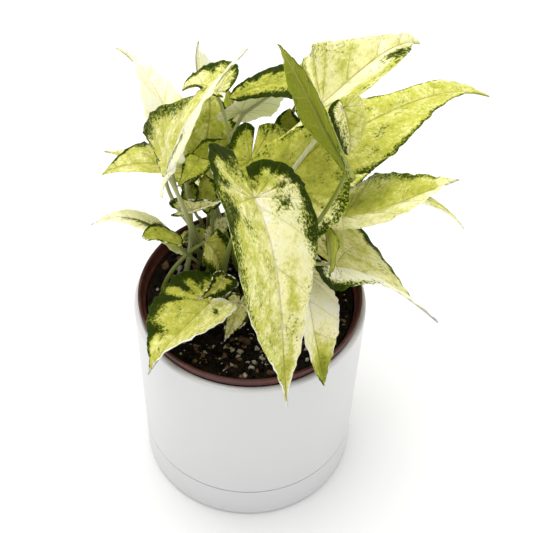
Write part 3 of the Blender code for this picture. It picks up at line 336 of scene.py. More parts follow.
paint("left_low_small", green=0.7, edge=(0.8, (1.1, 1.2, 1.2, 1.1, 0.6)), spots=0.5, white=(0.9, 0.5))
paint("left_low_round", green=0.5, edge=0.8, white=0.7,
      patches=((1, 0.5, 0.3, 0.3, 0.4, 0.8), (-1, 0.5, 0.3, 0.3, 0.4, 0.8)))
paint("cup_round", green=0.35, edge=((0.5, 0.7, 0.95, 1.1, 1.1), (0.6, 0.8, 1.05, 1.15, 1.15)), band=0.5,
      spots=0.2, white=0)
paint("cream_curl", green=0, edge=0.5, spots=0.4)
paint("small_dark", green=0.45, edge=1.1, band=0.6, spots=0.5, white=1)
paint("lower_left", green=(0.36, 0.52), edge=((0.3, 0.2, 0.2, 0.2, 0.7), (0.9, 0.85, 0.8, 0.8, 0.8)),
      band=(0.2, 0.3), spots=(0.25, 0.42), white=(1, 0.7),
      patches=((-1, 0.2, 0.8, 0.06, 0.3, 0.75), (-1, 0.36, 0.75, 0.035, 0.35, 0.85),
               (-1, 0.52, 0.75, 0.035, 0.35, 0.8), (-1, 0.44, 0.7, 0.02, 0.4, -0.4),
               (1, 0.5, 0.5, 0.03, 0.2, 0.6), (-1, 0.68, 0.8, 0.03, 0.3, 0.5)),
      tints=((-1, 0.8, 0.5, 0.2, 1, -0.1), (1, 0.8, 0.5, 0.2, 1, -0.05), (1, 0.2, 0.8, 0.2, 0.4, -0.3)))
paint("small_front", green=(0.15, 0.2), edge=(0.8, 1), white=0.9, spots=0.45)
paint("curl_right", green=0.6, edge=(0.6, 0.8), spots=0.4)
for rear in ("rear_mid", "rear_right", "rear_left"):
    paint(rear, green=(0.1, 0.3), edge=((0.6, 0.6, 0.5, 0.3, 0.2), 0.75), white=0.3)


def unit(v):
    """v at unit length."""
    return v / np.maximum(np.linalg.norm(v, axis=-1, keepdims=True), 1e-9)


def squared(v, tangent):
    """v without its part along the unit tangent, at unit length."""
    return unit(v - np.sum(v * tangent, -1, keepdims=True) * tangent)


def turned_about(v, axis, angle):
    """v turned about a unit axis, by the formula of cosine, cross product and projection."""
    c, s = np.cos(angle), np.sin(angle)
    return v * c + np.cross(axis, v) * s + axis * np.sum(axis * v, -1, keepdims=True) * (1 - c)


def smooth_step(low, high, value):
    """0 at low, 1 at high and a cubic ease between them."""
    t = np.clip((value - low) / (high - low), 0, 1)
    return t * t * (3 - 2 * t)


def ripple(t, seed, waves):
    """A smooth irregular wave of about unit height: a sum of sines with seeded phases and weights."""
    draw = np.random.default_rng(seed)
    total = np.zeros_like(t, dtype=float)
    for wave in waves:
        total = total + draw.uniform(0.5, 1.0) * np.sin(2 * np.pi * (wave * t + draw.random()))
    return total / (0.75 * len(waves))


def half_outline(points, count):
    """count points on a Catmull-Rom curve through the given ones."""
    p = np.array(points, float)
    p = np.vstack([2 * p[0] - p[1], p, 2 * p[-1] - p[-2]])
    t = np.linspace(0, len(points) - 1, count)
    k = np.minimum(t.astype(int), len(points) - 2)
    f = (t - k)[:, None]
    a, b, c, d = p[k], p[k + 1], p[k + 2], p[k + 3]
    curve = 2 * b + (c - a) * f + (2 * a - 5 * b + 4 * c - d) * f**2
    return 0.5 * (curve + (3 * b - a - 3 * c + d) * f**3)


def blade_axes(spec):
    """Length, direction, upper side and left side of a blade at its base."""
    along = spec["tip"] - spec["base"]
    length = np.linalg.norm(along)
    ahead = along / length
    upper = unit(np.array([0, 0, 1.0]) - ahead[2] * ahead)
    upper = turned_about(upper, ahead, np.radians(spec["roll"]))
    return length, ahead, upper, np.cross(upper, ahead)


def midrib(spec, share):
    """Points of the midrib at shares of its length, and its unit tangents.

    A straight line from base to tip plus a parabola for bow and sway and a cubic for the late bend.
    The parabola is scaled by 4 and the cubic by 2.6, so that each reaches its value once.
    """
    length, ahead, upper, left = blade_axes(spec)
    share = np.asarray(share, float)[..., None]
    whole = spec["bow"] * upper + spec["sway"] * left
    late = 2.6 * (spec["late"][0] * upper + spec["late"][1] * left)
    points = spec["base"] + length * share * ahead
    points = points + 4 * share * (1 - share) * whole + (share**3 - share) * late
    slope = 4 * (1 - 2 * share) * whole + (3 * share**2 - 1) * late
    return points, unit(ahead + slope / length)


def blade_normals(spec, share, tangents):
    """The upper side along the midrib: turned by the twist times the share, and square to the tangents."""
    _, ahead, upper, _ = blade_axes(spec)
    turn = (np.radians(spec["twist"]) * share)[..., None]
    return squared(turned_about(upper + 0 * tangents, ahead + 0 * tangents, turn), tangents)


def half_widths(spec, k, outline, a):
    """Half width of the blade at each a: the outline's, trimmed, smoothed and nibbled."""
    wide = spec["wide"][k]
    stations = np.linspace(0, TRIM_STATIONS[-1], len(a))
    trim = np.interp(stations, TRIM_STATIONS, (*several(several(spec["trim"], 2)[k], 7), 0))
    kernel = np.hanning(len(a) // 9 * 2 + 1)[1:-1]
    trim = np.convolve(np.pad(trim, len(kernel) // 2, mode="edge"), kernel / kernel.sum(), mode="valid")
    trim = trim * (1 - a**24)
    nibble = NIBBLE * wide * ripple(a, 10 * spec["number"] + k, (9, 14, 21, 29))
    nibble = nibble * np.clip(outline[:, 1] * 3, 0, 1)
    plain = outline[:, 1] * wide
    return np.maximum(plain + trim + nibble, 0.06 * plain)


def blade_half(spec, side, ribs, steps):
    """Points of one half of the blade on a grid of a and b, with its flat places and distances.

    a runs along the outline from the lobe to the tip and b from the midrib to the margin. Lines of
    constant a start on the midrib, lean forward and follow the side veins. Each point is the midrib's
    point, plus a circular arc of the fold and curl across it, plus waves of the margin.
    """
    length = blade_axes(spec)[0]
    k = 0 if side > 0 else 1
    outline = half_outline(spec["outline"], ribs)
    a = np.linspace(0, 1, ribs)[:, None]
    b = np.linspace(0, 1, steps + 1)[None, :]
    lean = VEIN_LEAN * outline[:, 1] * sum(spec["wide"]) / 2
    start = np.maximum(0, outline[:, 0] * length - lean)[:, None]
    reach = (outline[:, 0] * np.where(outline[:, 0] > 0, length, spec["lobes"][k]))[:, None]
    x = start + (reach - start) * b**1.2
    y = half_widths(spec, k, outline, a[:, 0])[:, None] * b
    share = np.maximum(x, 0) / length
    points, tangent = midrib(spec, share)
    normal = blade_normals(spec, share, tangent)
    fold = np.radians(spec["fold"][k])
    bend = np.radians(spec["curl"][k]) / spec["wide"][k] or 1e-6
    out = (np.sin(fold + bend * y) - np.sin(fold)) / bend
    up = (np.cos(fold) - np.cos(fold + bend * y)) / bend
    wave = np.sin(2 * np.pi * (2.5 * a + 0.37 * spec["number"] + 0.25 * k))
    up = up + MARGIN_WAVE * b**2 * wave * np.sin(np.pi * np.clip(a * 1.1, 0, 1))
    up = up + margin_ruffle(spec, k, a, b) + quilting(spec, a, b)
    drop = np.radians(spec["lift"])
    points = points + np.minimum(x, 0)[..., None] * (np.cos(drop) * tangent - np.sin(drop) * normal)
    points = points + (side * out)[..., None] * np.cross(normal, tangent) + up[..., None] * normal
    flat = np.stack([x, side * y, 0 * x], -1)
    veins = vein_distance(a, points)
    veins = np.where(x > 0, np.minimum(veins, 0.45 * y), veins)
    return points, flat, veins


def margin_ruffle(spec, k, a, b):
    """Small waves that grow with the fourth power of b, of irregular height along the margin."""
    fade = np.sin(np.pi * np.clip(a * 1.04, 0, 1))**0.5
    waves = ripple(a + 0.02 * b, 10 * spec["number"] + k + 5, (5, 8, 13, 19))
    return RUFFLE * sum(spec["wide"]) * b**4 * waves * fade


def quilting(spec, a, b):
    """Pillows between the side veins: a sine across each space, and flat at the midrib and margin."""
    pillow = np.abs(np.sin(np.pi * SIDE_VEINS * a))**0.7
    return PILLOW * sum(spec["wide"]) * pillow * np.sin(np.pi * b)**0.6


def vein_distance(a, points):
    """Distance in millimetres from each grid point to the nearest side vein, along the outline."""
    step = np.linalg.norm(np.diff(points, axis=0), axis=-1)
    run = np.vstack([step[:1], (step[1:] + step[:-1]) / 2, step[-1:]])
    place = a * SIDE_VEINS
    return np.abs(place - np.round(place)) / SIDE_VEINS * (len(a) - 1) * run


def bumps(rows, side, a, b):
    """The sum of the patches or tints on one side: each a rounded bump in a and b of its amount."""
    total = 0 * a * b
    for row_side, at_a, at_b, reach_a, reach_b, amount in rows:
        if row_side == side:
            total = total + amount * np.exp(-((a - at_a) / reach_a)**2 - ((b - at_b) / reach_b)**2)
    return total


def paint_half(spec, side, a, b, flat):
    """Shares of green, dark green and white on one half of a blade, from its paint values.

    The margin's band fades inward from b = 1, flecks follow the side veins, and patches and tints are
    added. The white line is about a millimetre wide.
    """
    k = 0 if side > 0 else 1
    number = spec["number"]
    values = PAINT[spec["name"]]
    band = values["band"][k] * (1 + 0.35 * ripple(a, number + 40 + k, (3, 5, 7)))
    margin = np.interp(a, np.linspace(0, 1, 5), values["edge"][k])
    margin = margin * smooth_step(1.15, 0.0, (1 - b) / np.maximum(band, 0.05))
    flecks = 0.55 + 0.6 * np.abs(np.cos(np.pi * SIDE_VEINS * a))
    flecks = flecks * np.sin(np.pi * np.clip(b, 0.02, 1))**0.5
    flecks = flecks * (0.6 + 0.5 * ripple(a + 0.35 * b, number + 60 + k, (4, 7, 11)))
    dark = np.maximum(margin, 0) + values["spots"][k] * flecks + bumps(values["patches"], side, a, b)
    green = values["green"][k] + bumps(values["tints"], side, a, b)
    reach = np.linalg.norm(flat[:, -1:] - flat[:, :1], axis=-1)
    worn = 0.8 + 0.45 * ripple(a, number + 80 + k, (5, 9, 13))
    white = values["white"][k] * worn * smooth_step(1.6, 0.5, (1 - b) * reach)
    return np.stack([np.clip(dark, 0, 1.5), green, white], -1)


def blade_sheet(spec, ribs, steps):
    """Both halves of the blade as one sheet: its triangles, and at each point these columns.

    Point 0:3, flat place 3:6, vein distance 6, dark 7, green 8, white 9 and b 10. The grid has rows
    along a and columns from the left margin to the right.
    """
    a = np.linspace(0, 1, ribs)[:, None]
    b = np.linspace(0, 1, steps + 1)[None, :]
    halves = []
    for side in (1, -1):
        points, flat, veins = blade_half(spec, side, ribs, steps)
        across = b[..., None] + 0 * veins[..., None]
        paints = paint_half(spec, side, a, b, flat)
        grid = np.concatenate([points, flat, veins[..., None], paints, across], -1)
        halves.append(grid[:, ::-1] if side > 0 else grid[:, 1:])
    grid = np.concatenate(halves, 1)
    index = np.arange(ribs * grid.shape[1]).reshape(ribs, -1)
    cells = np.stack([index[:-1, :-1], index[:-1, 1:], index[1:, 1:], index[1:, :-1]], -1)
    return welded(grid.reshape(-1, grid.shape[2]), halved(cells), 4)


def halved(quads):
    """Each quad as two triangles that share the diagonal from its first corner."""
    quads = quads.reshape(-1, 4)
    return np.vstack([quads[:, (0, 1, 2)], quads[:, (0, 2, 3)]])


def band_faces(low, high, sides):
    """Triangles between rings of points whose first points have the numbers low and high."""
    k = np.arange(sides)
    following = (k + 1) % sides
    low, high = low[:, None], high[:, None]
    return halved(np.stack([low + k, low + following, high + following, high + k], -1))


def welded(values, triangles, digits=5):
    """Rows at one place made one row, and the triangles that still have three corners."""
    keys = np.round(values[:, :3], digits)
    _, first, index = np.unique(keys, axis=0, return_index=True, return_inverse=True)
    triangles = index.reshape(-1)[triangles]
    distinct = (triangles != np.roll(triangles, -1, axis=1)).all(axis=1)
    return values[first], triangles[distinct]


def point_normals(points, triangles):
    """Unit normals at the points: the sum of the faces' area vectors about each."""
    corners = points[triangles]
    area = np.cross(corners[:, 1] - corners[:, 0], corners[:, 2] - corners[:, 0])
    normals = np.zeros_like(points)
    for k in range(3):
        np.add.at(normals, triangles[:, k], area)
    return unit(normals)


def border(triangles):
    """The directed edges that only one triangle has."""
    edges = np.vstack([triangles[:, (0, 1)], triangles[:, (1, 2)], triangles[:, (2, 0)]])
    keys = edges[:, 0] * (edges.max() + 1) + edges[:, 1]
    back = edges[:, 1] * (edges.max() + 1) + edges[:, 0]
    return edges[~np.isin(back, keys)]


def shell(values, triangles, thickness):
    """A closed plate about a sheet: each side is the sheet moved half the thickness along its normals.

    Column 5 becomes 1 on the upper side and -1 on the underside.
    """
    offset = point_normals(values[:, :3], triangles) * thickness[:, None] / 2
    count = len(values)
    start, end = border(triangles).T
    walls = np.vstack([np.stack([start, start + count, end + count], -1),
                       np.stack([start, end + count, end], -1)])
    faces = np.vstack([triangles, triangles[:, ::-1] + count, walls])
    plates = []
    for face in (1, -1):
        plate = values.copy()
        plate[:, :3] += face * offset
        plate[:, 5] = face
        plates.append(plate)
    return np.vstack(plates), faces


def tube(path, radii, sides=12, wobble=0.0, seed=0):
    """A closed rod: a circle of the given radius carried along a path without turning about it.

    wobble flattens and swells the circle a little along the way. The last result is the share of the
    way along at each point.
    """
    path = np.array(path, float)
    steps = unit(np.diff(path, axis=0))
    tangents = unit(np.vstack([steps[:1], steps[1:] + steps[:-1], steps[-1:]]))
    across = unit(np.cross(tangents[0], (0.3, 1.0, 0.2)))
    frames = []
    for tangent in tangents:
        across = squared(across, tangent)
        frames.append((across, np.cross(tangent, across)))
    frames = np.array(frames)
    angle = 2 * np.pi * np.arange(sides) / sides
    share = np.linspace(0, 1, len(path))
    swell = 1 + wobble * (ripple(share[:, None] + 0 * angle, seed, (3, 7, 12)) + np.cos(2 * angle))
    c, s = np.cos(angle)[:, None], np.sin(angle)[:, None]
    ring = c * frames[:, None, 0] + s * frames[:, None, 1]
    points = path[:, None] + (np.array(radii)[:, None] * swell)[..., None] * ring
    starts = np.arange(len(path)) * sides
    k = np.arange(sides)
    following = (k + 1) % sides
    first_end = len(path) * sides
    caps = np.vstack([np.stack([k * 0 + first_end, following, k], -1),
                      np.stack([k * 0 + first_end + 1, starts[-1] + k, starts[-1] + following], -1)])
    triangles = np.vstack([band_faces(starts[:-1], starts[1:], sides), caps])
    along = np.concatenate([np.repeat(share, sides), [0, 1]])
    return np.vstack([points.reshape(-1, 3), path[[0, -1]]]), triangles, along


def stalk_radii(spec):
    """Stalk radius at the soil and at the blade, by the blade's size."""
    length = blade_axes(spec)[0]
    if length > LARGE_BLADE:
        return 1.7, 1.05
    if length > MIDDLE_BLADE:
        return 1.4, 0.95
    return 1.1, 0.85


def stalk_path(spec, count):
    """The stalk's centre line: a Bezier curve from the foot by rise and reach to the blade's base."""
    upper = squared(blade_axes(spec)[2], midrib(spec, 0.015)[1])
    start = np.array([*spec["foot"], SOIL_LEVEL - STALK_DEPTH], float)
    end = spec["base"] - (stalk_radii(spec)[1] - 0.25) * upper
    t = np.linspace(0, 1, count)[:, None]
    rise, reach = np.array(spec["rise"], float), np.array(spec["reach"], float)
    return (1 - t)**3 * start + 3 * t * (1 - t)**2 * rise + 3 * t * t * (1 - t) * reach + t**3 * end


def stalk(spec):
    """The stalk, a little swollen at its foot, and the rib that it runs on as under the blade.

    The rib sinks into the blade by 0.15 and thins to nearly nothing at the tip.
    """
    foot_radius, top_radius = stalk_radii(spec)
    share = np.linspace(0, 1, 34)
    radii = foot_radius + (top_radius - foot_radius) * share + 0.35 * np.exp(-share / 0.06)
    ahead = np.linspace(0.02, 0.93, 26)
    points, tangents = midrib(spec, ahead)
    rib = top_radius * 0.85 * (1 - ahead)**0.8 + 0.14
    under = points - (rib - 0.15)[:, None] * blade_normals(spec, ahead, tangents)
    path = np.vstack([stalk_path(spec, len(share)), under])
    return tube(path, np.concatenate([radii, rib]), wobble=0.03, seed=spec["number"])


def lathe(profile, segments, relief=None):
    """A profile of (radius, height) turned about Z. It runs anticlockwise, with the radius to the right.

    A profile that starts and ends on the axis is closed there, and any other is a closed loop. relief
    gives the height that is added at each point.
    """
    profile = np.array(profile, float)
    angle = 2 * np.pi * np.arange(segments) / segments
    radius, height = profile[:, :1], profile[:, 1:2]
    points = np.stack([radius * np.cos(angle), radius * np.sin(angle), height + 0 * angle], -1)
    points = points.reshape(-1, 3)
    low = np.arange(len(profile)) * segments
    high = np.roll(low, -1)
    if profile[0, 0] == 0:
        low, high = low[:-1], high[:-1]
    if relief is not None:
        points[:, 2] += relief(points)
    return welded(points, band_faces(low, high, segments))


def rounded(corners, steps):
    """A profile through corners of (radius, height, rounding), each turned into a short arc.

    The arc is a quadratic curve between the points that lie the rounding before and after the corner.
    """
    corners = [np.array(corner, float) for corner in corners]
    closed = corners[0][0] != 0
    count = len(corners)
    profile = []
    for n, corner in enumerate(corners):
        if not closed and n in (0, count - 1) or corner[2] == 0:
            profile.append(corner[:2])
            continue
        before = corners[n - 1][:2] - corner[:2]
        after = corners[(n + 1) % count][:2] - corner[:2]
        start = corner[:2] + unit(before) * corner[2]
        end = corner[:2] + unit(after) * corner[2]
        t = np.linspace(0, 1, steps)[:, None]
        profile.extend((1 - t)**2 * start + 2 * t * (1 - t) * corner[:2] + t**2 * end)
    return profile


def add_mesh(name, points, triangles, materials, kinds=None):
    """A smooth mesh object at the origin from points in millimetres, and each face's material number."""
    mesh = bpy.data.meshes.new(name)
    mesh.vertices.add(len(points))
    mesh.vertices.foreach_set("co", (np.asarray(points) * MM).astype(np.float32).ravel())
    mesh.loops.add(3 * len(triangles))
    mesh.loops.foreach_set("vertex_index", np.asarray(triangles, np.int32).ravel())
    mesh.polygons.add(len(triangles))
    mesh.polygons.foreach_set("loop_start", np.arange(0, 3 * len(triangles), 3, dtype=np.int32))
    mesh.update(calc_edges=True)
    for material in materials:
        mesh.materials.append(material)
    mesh.polygons.foreach_set("use_smooth", np.ones(len(triangles), bool))
    if kinds is not None:
        mesh.polygons.foreach_set("material_index", np.asarray(kinds, np.int32))
    piece = bpy.data.objects.new(name, mesh)
    bpy.context.scene.collection.objects.link(piece)
    return piece


def put_vectors(piece, name, values):
    """A vector at each point of a piece, for its materials."""
    layer = piece.data.attributes.new(name, "FLOAT_VECTOR", "POINT")
    layer.data.foreach_set("vector", np.asarray(values, np.float32).ravel())


def seat(piece, node):
    """A piece rides on the plant's one body and stands for a node, whose CAD part it hides."""
    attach(piece, "root")
    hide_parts(node)


class Wiring:
    """Adds nodes and links to a shader tree in few words."""

    def __init__(self, tree):
        self.tree = tree

    def feed(self, socket, value):
        """Link a socket to another, or set its constant."""
        if isinstance(value, bpy.types.NodeSocket):
            self.tree.links.new(value, socket)
        else:
            socket.default_value = value

    def wire(self, node, **inputs):
        """Feed a node's inputs by name, with _ for a space, or by number, as i0."""
        for key, value in inputs.items():
            number = key[1:]
            self.feed(node.inputs[int(number) if number.isdigit() else key.replace("_", " ")], value)

    def node(self, kind, settings=None, **inputs):
        """A new node with its settings and inputs."""
        made = self.tree.nodes.new("ShaderNode" + kind)
        for key, value in (settings or {}).items():
            setattr(made, key, value)
        self.wire(made, **inputs)
        return made

    def math(self, operation, *values, clamp=False):
        """A sum in one node: its operation and two or three values."""
        made = self.node("Math", {"operation": operation, "use_clamp": clamp})
        for socket, value in zip(made.inputs, values):
            self.feed(socket, value)
        return made.outputs[0]

    def plus(self, one, other):
        return self.math("ADD", one, other)

    def times(self, one, other):
        return self.math("MULTIPLY", one, other)

    def line(self, value, slope, offset):
        """value times slope plus offset."""
        return self.math("MULTIPLY_ADD", value, slope, offset)

    def rise(self, low, high, value):
        """0 below low, 1 above high and a smooth ease between them."""
        made = self.node("MapRange", {"interpolation_type": "SMOOTHSTEP"})
        for socket, number in zip(made.inputs, (value, low, high, 0.0, 1.0)):
            self.feed(socket, number)
        return made.outputs[0]

    def fall(self, low, high, value):
        """1 below low, 0 above high and a smooth ease between them."""
        return self.math("SUBTRACT", 1.0, self.rise(low, high, value))

    def mix(self, share, one, other):
        """One colour turning to another by a share."""
        made = self.node("Mix", {"data_type": "RGBA"})
        self.wire(made, i0=share, i6=one, i7=other)
        return made.outputs[2]

    def noise(self, place, scale, detail, roughness):
        made = self.node("TexNoise", Vector=place, Scale=scale, Detail=detail, Roughness=roughness)
        return made.outputs["Fac"]

    def place(self):
        """The point in the object, which is the point in the shared frame."""
        return self.node("TexCoord").outputs["Object"]

    def attribute(self, name):
        """A mesh's own vector."""
        return self.node("Attribute", {"attribute_name": name}).outputs["Vector"]

    def parts(self, vector):
        return self.node("SeparateXYZ", Vector=vector).outputs

    def bump(self, strength, distance, height):
        """Normals of a relief of so many metres."""
        return self.node("Bump", Strength=strength, Distance=distance, Height=height).outputs[0]

    def group(self, name, maker, **inputs):
        """A node group by name, made once, with this material's own values."""
        tree = bpy.data.node_groups.get(name) or maker(name)
        return self.node("Group", {"node_tree": tree}, **inputs).outputs


def new_group(name, inputs, outputs):
    """A shader node group with named sockets: its tree, its wiring and its two ends."""
    tree = bpy.data.node_groups.new(name, "ShaderNodeTree")
    for label, kind, default in inputs:
        socket = tree.interface.new_socket(name=label, in_out="INPUT", socket_type=kind)
        socket.default_value = default
    for label, kind in outputs:
        tree.interface.new_socket(name=label, in_out="OUTPUT", socket_type=kind)
    return tree, Wiring(tree), tree.nodes.new("NodeGroupInput").outputs, tree.nodes.new("NodeGroupOutput")


COLOR = "NodeSocketColor"
FLOAT = "NodeSocketFloat"
VECTOR = "NodeSocketVector"

# Colours that no user changes: a blade where it is whiter than cream, the line outside its margin and
# its underside, and a stalk at its foot, further up and where it is pale.
WHITEST_BLADE = (0.95, 0.94, 0.78, 1)
WHITE_LINE = (0.93, 0.92, 0.76, 1)
UNDERSIDE = (0.42, 0.45, 0.08, 1)
STALK_FOOT = (0.09, 0.13, 0.008, 1)
STALK_GREEN = (0.30, 0.34, 0.03, 1)
STALK_PALE = (0.90, 0.89, 0.62, 1)


def leaf_colour_group(name):
    """Colour, roughness and relief of a variegated blade.

    Cream turns to yellow-green and olive by the share of green, in clouds and fine mottles. Dark green
    appears in grains where its share beats a noise: first a yellow-green haze, then flecks, then solid
    colour. Pale bands beside the veins, thin dull veins and a fine net lie over both, and the white
    line over all.
    """
    looks = bpy.context.scene.plant_looks
    colours = {"Cream": looks.cream, "Lime": looks.lime, "Olive": looks.olive, "Mid": looks.mid_green,
               "Deep": looks.deep_green}
    inputs = [("Place", VECTOR, (0, 0, 0)), ("Green", FLOAT, 0.3), ("Dark", FLOAT, 0.0),
              ("White", FLOAT, 0.0), ("Vein Distance", FLOAT, 5.0), ("Across", FLOAT, 0.5)]
    inputs += [(label, COLOR, (*value, 1)) for label, value in colours.items()]
    outputs = [("Color", COLOR), ("Roughness", FLOAT), ("Height", FLOAT)]
    tree, w, get, end = new_group(name, inputs, outputs)
    place = get["Place"]
    cream, lime, olive = get["Cream"], get["Lime"], get["Olive"]

    def spread(noise, amount):
        return w.times(w.math("SUBTRACT", noise, 0.5), amount)

    # The ground: whitest, cream, yellow-green or olive.
    cloud = w.noise(place, scale=0.10, detail=4.0, roughness=0.6)
    mottle = w.noise(place, scale=0.45, detail=5.0, roughness=0.65)
    green = w.plus(get["Green"], w.plus(spread(cloud, 0.95), spread(mottle, 0.95)))
    color = w.mix(w.rise(-0.4, 0.1, green), WHITEST_BLADE, cream)
    color = w.mix(w.rise(0.0, 0.5, green), color, lime)
    color = w.mix(w.rise(0.38, 1.0, green), color, olive)

    # Shares of the veins, of the bands beside them and of the fine net.
    away = w.math("DIVIDE", get["Vein Distance"], w.line(get["Across"], -0.26, 0.42))
    vein = w.fall(0.35, 1.0, away)
    beside = w.times(w.fall(0.4, 2.6, away), w.rise(0.05, 0.45, get["Across"]))
    cells = w.node("TexVoronoi", {"feature": "DISTANCE_TO_EDGE"}, Vector=place, Scale=0.42)
    net = w.fall(0.02, 0.11, cells.outputs["Distance"])

    # Dark green over the ground, in coarse and fine grains.
    grain = w.noise(place, scale=0.70, detail=4.0, roughness=0.68)
    fleck = w.noise(place, scale=2.1, detail=3.0, roughness=0.7)
    rough_dark = w.plus(get["Dark"], spread(grain, 1.7))
    fine_dark = w.plus(w.plus(rough_dark, spread(fleck, 0.9)), w.times(beside, -0.1))
    haze = w.times(w.rise(0.16, 0.60, rough_dark), 0.72)
    middle = w.rise(0.42, 0.56, fine_dark)
    color = w.mix(haze, color, w.mix(0.45, lime, get["Mid"]))
    color = w.mix(w.times(middle, 0.93), color, get["Mid"])
    color = w.mix(w.times(w.rise(0.57, 0.77, fine_dark), 0.97), color, get["Deep"])
    in_dark = w.math("MAXIMUM", middle, haze)

    # Bands, veins and net, which show less in the dark, and the white line.
    dull = w.mix(0.6, lime, olive)
    color = w.mix(w.times(beside, w.line(in_dark, -0.22, 0.24)), color, w.mix(0.75, cream, lime))
    vein_share = w.times(w.line(w.rise(-0.2, 0.5, green), 0.3, 0.3), w.line(in_dark, -0.8, 1.0))
    color = w.mix(w.times(vein, vein_share), color, dull)
    net_share = w.times(w.line(w.rise(0.0, 0.7, green), 0.22, 0.06), w.math("SUBTRACT", 1.0, in_dark))
    color = w.mix(w.times(net, net_share), color, dull)
    white = w.plus(w.times(get["White"], w.line(in_dark, -0.45, 1.0)), spread(grain, 0.7))
    color = w.mix(w.rise(0.38, 0.6, white), color, WHITE_LINE)

    height = w.plus(w.line(vein, -0.7, w.times(net, -0.25)), w.times(mottle, 0.9))
    w.wire(end, Color=color, Roughness=w.line(cloud, 0.22, 0.34), Height=height)
    return tree


def grain_group(name):
    """A speckled mask and a fine relief from two noises, for plastic, soil and the floor."""
    inputs = [("Place", VECTOR, (0, 0, 0)), ("Scale", FLOAT, 100.0), ("Detail", FLOAT, 3.0)]
    tree, w, get, end = new_group(name, inputs, [("Mask", FLOAT), ("Height", FLOAT)])
    coarse = w.noise(get["Place"], get["Scale"], get["Detail"], roughness=0.55)
    fine = w.noise(get["Place"], w.times(get["Scale"], 6.0), detail=2.0, roughness=0.6)
    w.wire(end, Mask=coarse, Height=w.line(fine, 0.4, coarse))
    return tree


def finish(name, dress):
    """A material by name, made once: dress(wiring, shader) feeds its Principled shader."""
    if name not in bpy.data.materials:
        material = bpy.data.materials.new(name)
        material.use_nodes = True
        dress(Wiring(material.node_tree), material.node_tree.nodes["Principled BSDF"])
    return bpy.data.materials[name]


def dress_blade(w, shader):
    """Upper side from the painted shares and veins, underside paler, greyer and duller."""
    dark, green, white = w.parts(w.attribute("shares"))
    vein, across, face = w.parts(w.attribute("veins"))
    blade = w.group("Variegated blade", leaf_colour_group, Place=w.attribute("flat"), Green=green,
                    Dark=dark, White=white, Vein_Distance=vein, Across=across)
    under = w.fall(-0.2, 0.2, face)
    pale = w.mix(w.times(w.rise(-0.4, 0.3, green), 0.22), blade["Color"], UNDERSIDE)
    w.wire(shader, Base_Color=w.mix(under, blade["Color"], pale),
           Roughness=w.plus(blade["Roughness"], w.times(under, 0.2)),
           Normal=w.bump(0.9, 0.0003, blade["Height"]), Specular_IOR_Level=0.04, Subsurface_Weight=0.65,
           Subsurface_Radius=(0.8, 1.0, 0.25), Subsurface_Scale=0.0012)


def dress_stalk(w, shader):
    """Green at the foot and paler towards the blade, with faint streaks along it."""
    run, paleness, _ = w.parts(w.attribute("veins"))
    drawn_out = w.node("VectorMath", {"operation": "MULTIPLY"}, i0=w.place(), i1=(1.0, 1.0, 0.12))
    streak = w.noise(drawn_out.outputs[0], scale=900.0, detail=3.0, roughness=0.6)
    share = w.math("ADD", w.times(run, 0.7), w.times(streak, 0.35), clamp=True)
    color = w.mix(w.times(paleness, share), w.mix(share, STALK_FOOT, STALK_GREEN), STALK_PALE)
    w.wire(shader, Base_Color=color, Roughness=w.line(streak, 0.2, 0.3),
           Normal=w.bump(0.3, 0.0002, streak), Subsurface_Weight=0.1, Subsurface_Scale=0.002)


def dress_glaze(w, shader):
    """White satin glaze, a little rougher towards the foot, and a little darker there as painted shade."""
    # Painted shade: the colour is a little darker low down and lightens up to 130 mm above the floor.
    share = w.rise(0.0, 0.13, w.parts(w.place())[2])
    color = w.mix(share, (0.675, 0.675, 0.68, 1), (0.695, 0.695, 0.695, 1))
    w.wire(shader, Base_Color=color, Roughness=w.line(share, -0.06, 0.34), Specular_IOR_Level=0.75)


def dress_plastic(w, shader):
    """Red-brown moulded plastic, a little chalky, with fine scuffs."""
    grain = w.group("Grain", grain_group, Place=w.place(), Scale=140.0, Detail=4.0)
    color = w.mix(w.rise(0.35, 0.7, grain["Mask"]), (0.070, 0.020, 0.016, 1), (0.115, 0.038, 0.030, 1))
    w.wire(shader, Base_Color=color, Roughness=w.line(grain["Mask"], 0.3, 0.28), Specular_IOR_Level=0.3,
           Normal=w.bump(0.2, 0.0002, grain["Height"]))


def dress_floor(w, shader):
    """Pale and without gloss."""
    grain = w.group("Grain", grain_group, Place=w.place(), Scale=5.0, Detail=2.0)
    color = w.mix(grain["Mask"], (0.93, 0.93, 0.93, 1), (0.95, 0.95, 0.95, 1))
    w.wire(shader, Base_Color=color, Roughness=0.9, Specular_IOR_Level=0.1)


# Crumbly finishes, each with its dark and light colour and the scale of its grain.
CRUMBLY = {
    "perlite": ((0.33, 0.29, 0.23), (0.66, 0.62, 0.54), 700.0),
    "bark_chip": ((0.085, 0.045, 0.022), (0.26, 0.16, 0.085), 500.0),
    "soil_earth": ((0.002, 0.0015, 0.001), (0.022, 0.013, 0.007), 300.0),
    "old_stalk": ((0.06, 0.03, 0.016), (0.19, 0.105, 0.055), 400.0),
}


def crumbly(name):
    """Earth or a grain lying in it, from dark to light by a noise."""
    dark, light, scale = CRUMBLY[name]

    def dress(w, shader):
        grain = w.group("Grain", grain_group, Place=w.place(), Scale=scale, Detail=5.0)
        w.wire(shader, Base_Color=w.mix(w.rise(0.35, 0.75, grain["Mask"]), (*dark, 1), (*light, 1)),
               Roughness=w.line(grain["Mask"], 0.3, 0.6), Specular_IOR_Level=0.12,
               Normal=w.bump(0.8, 0.0006, grain["Height"]))

    return finish(name, dress)


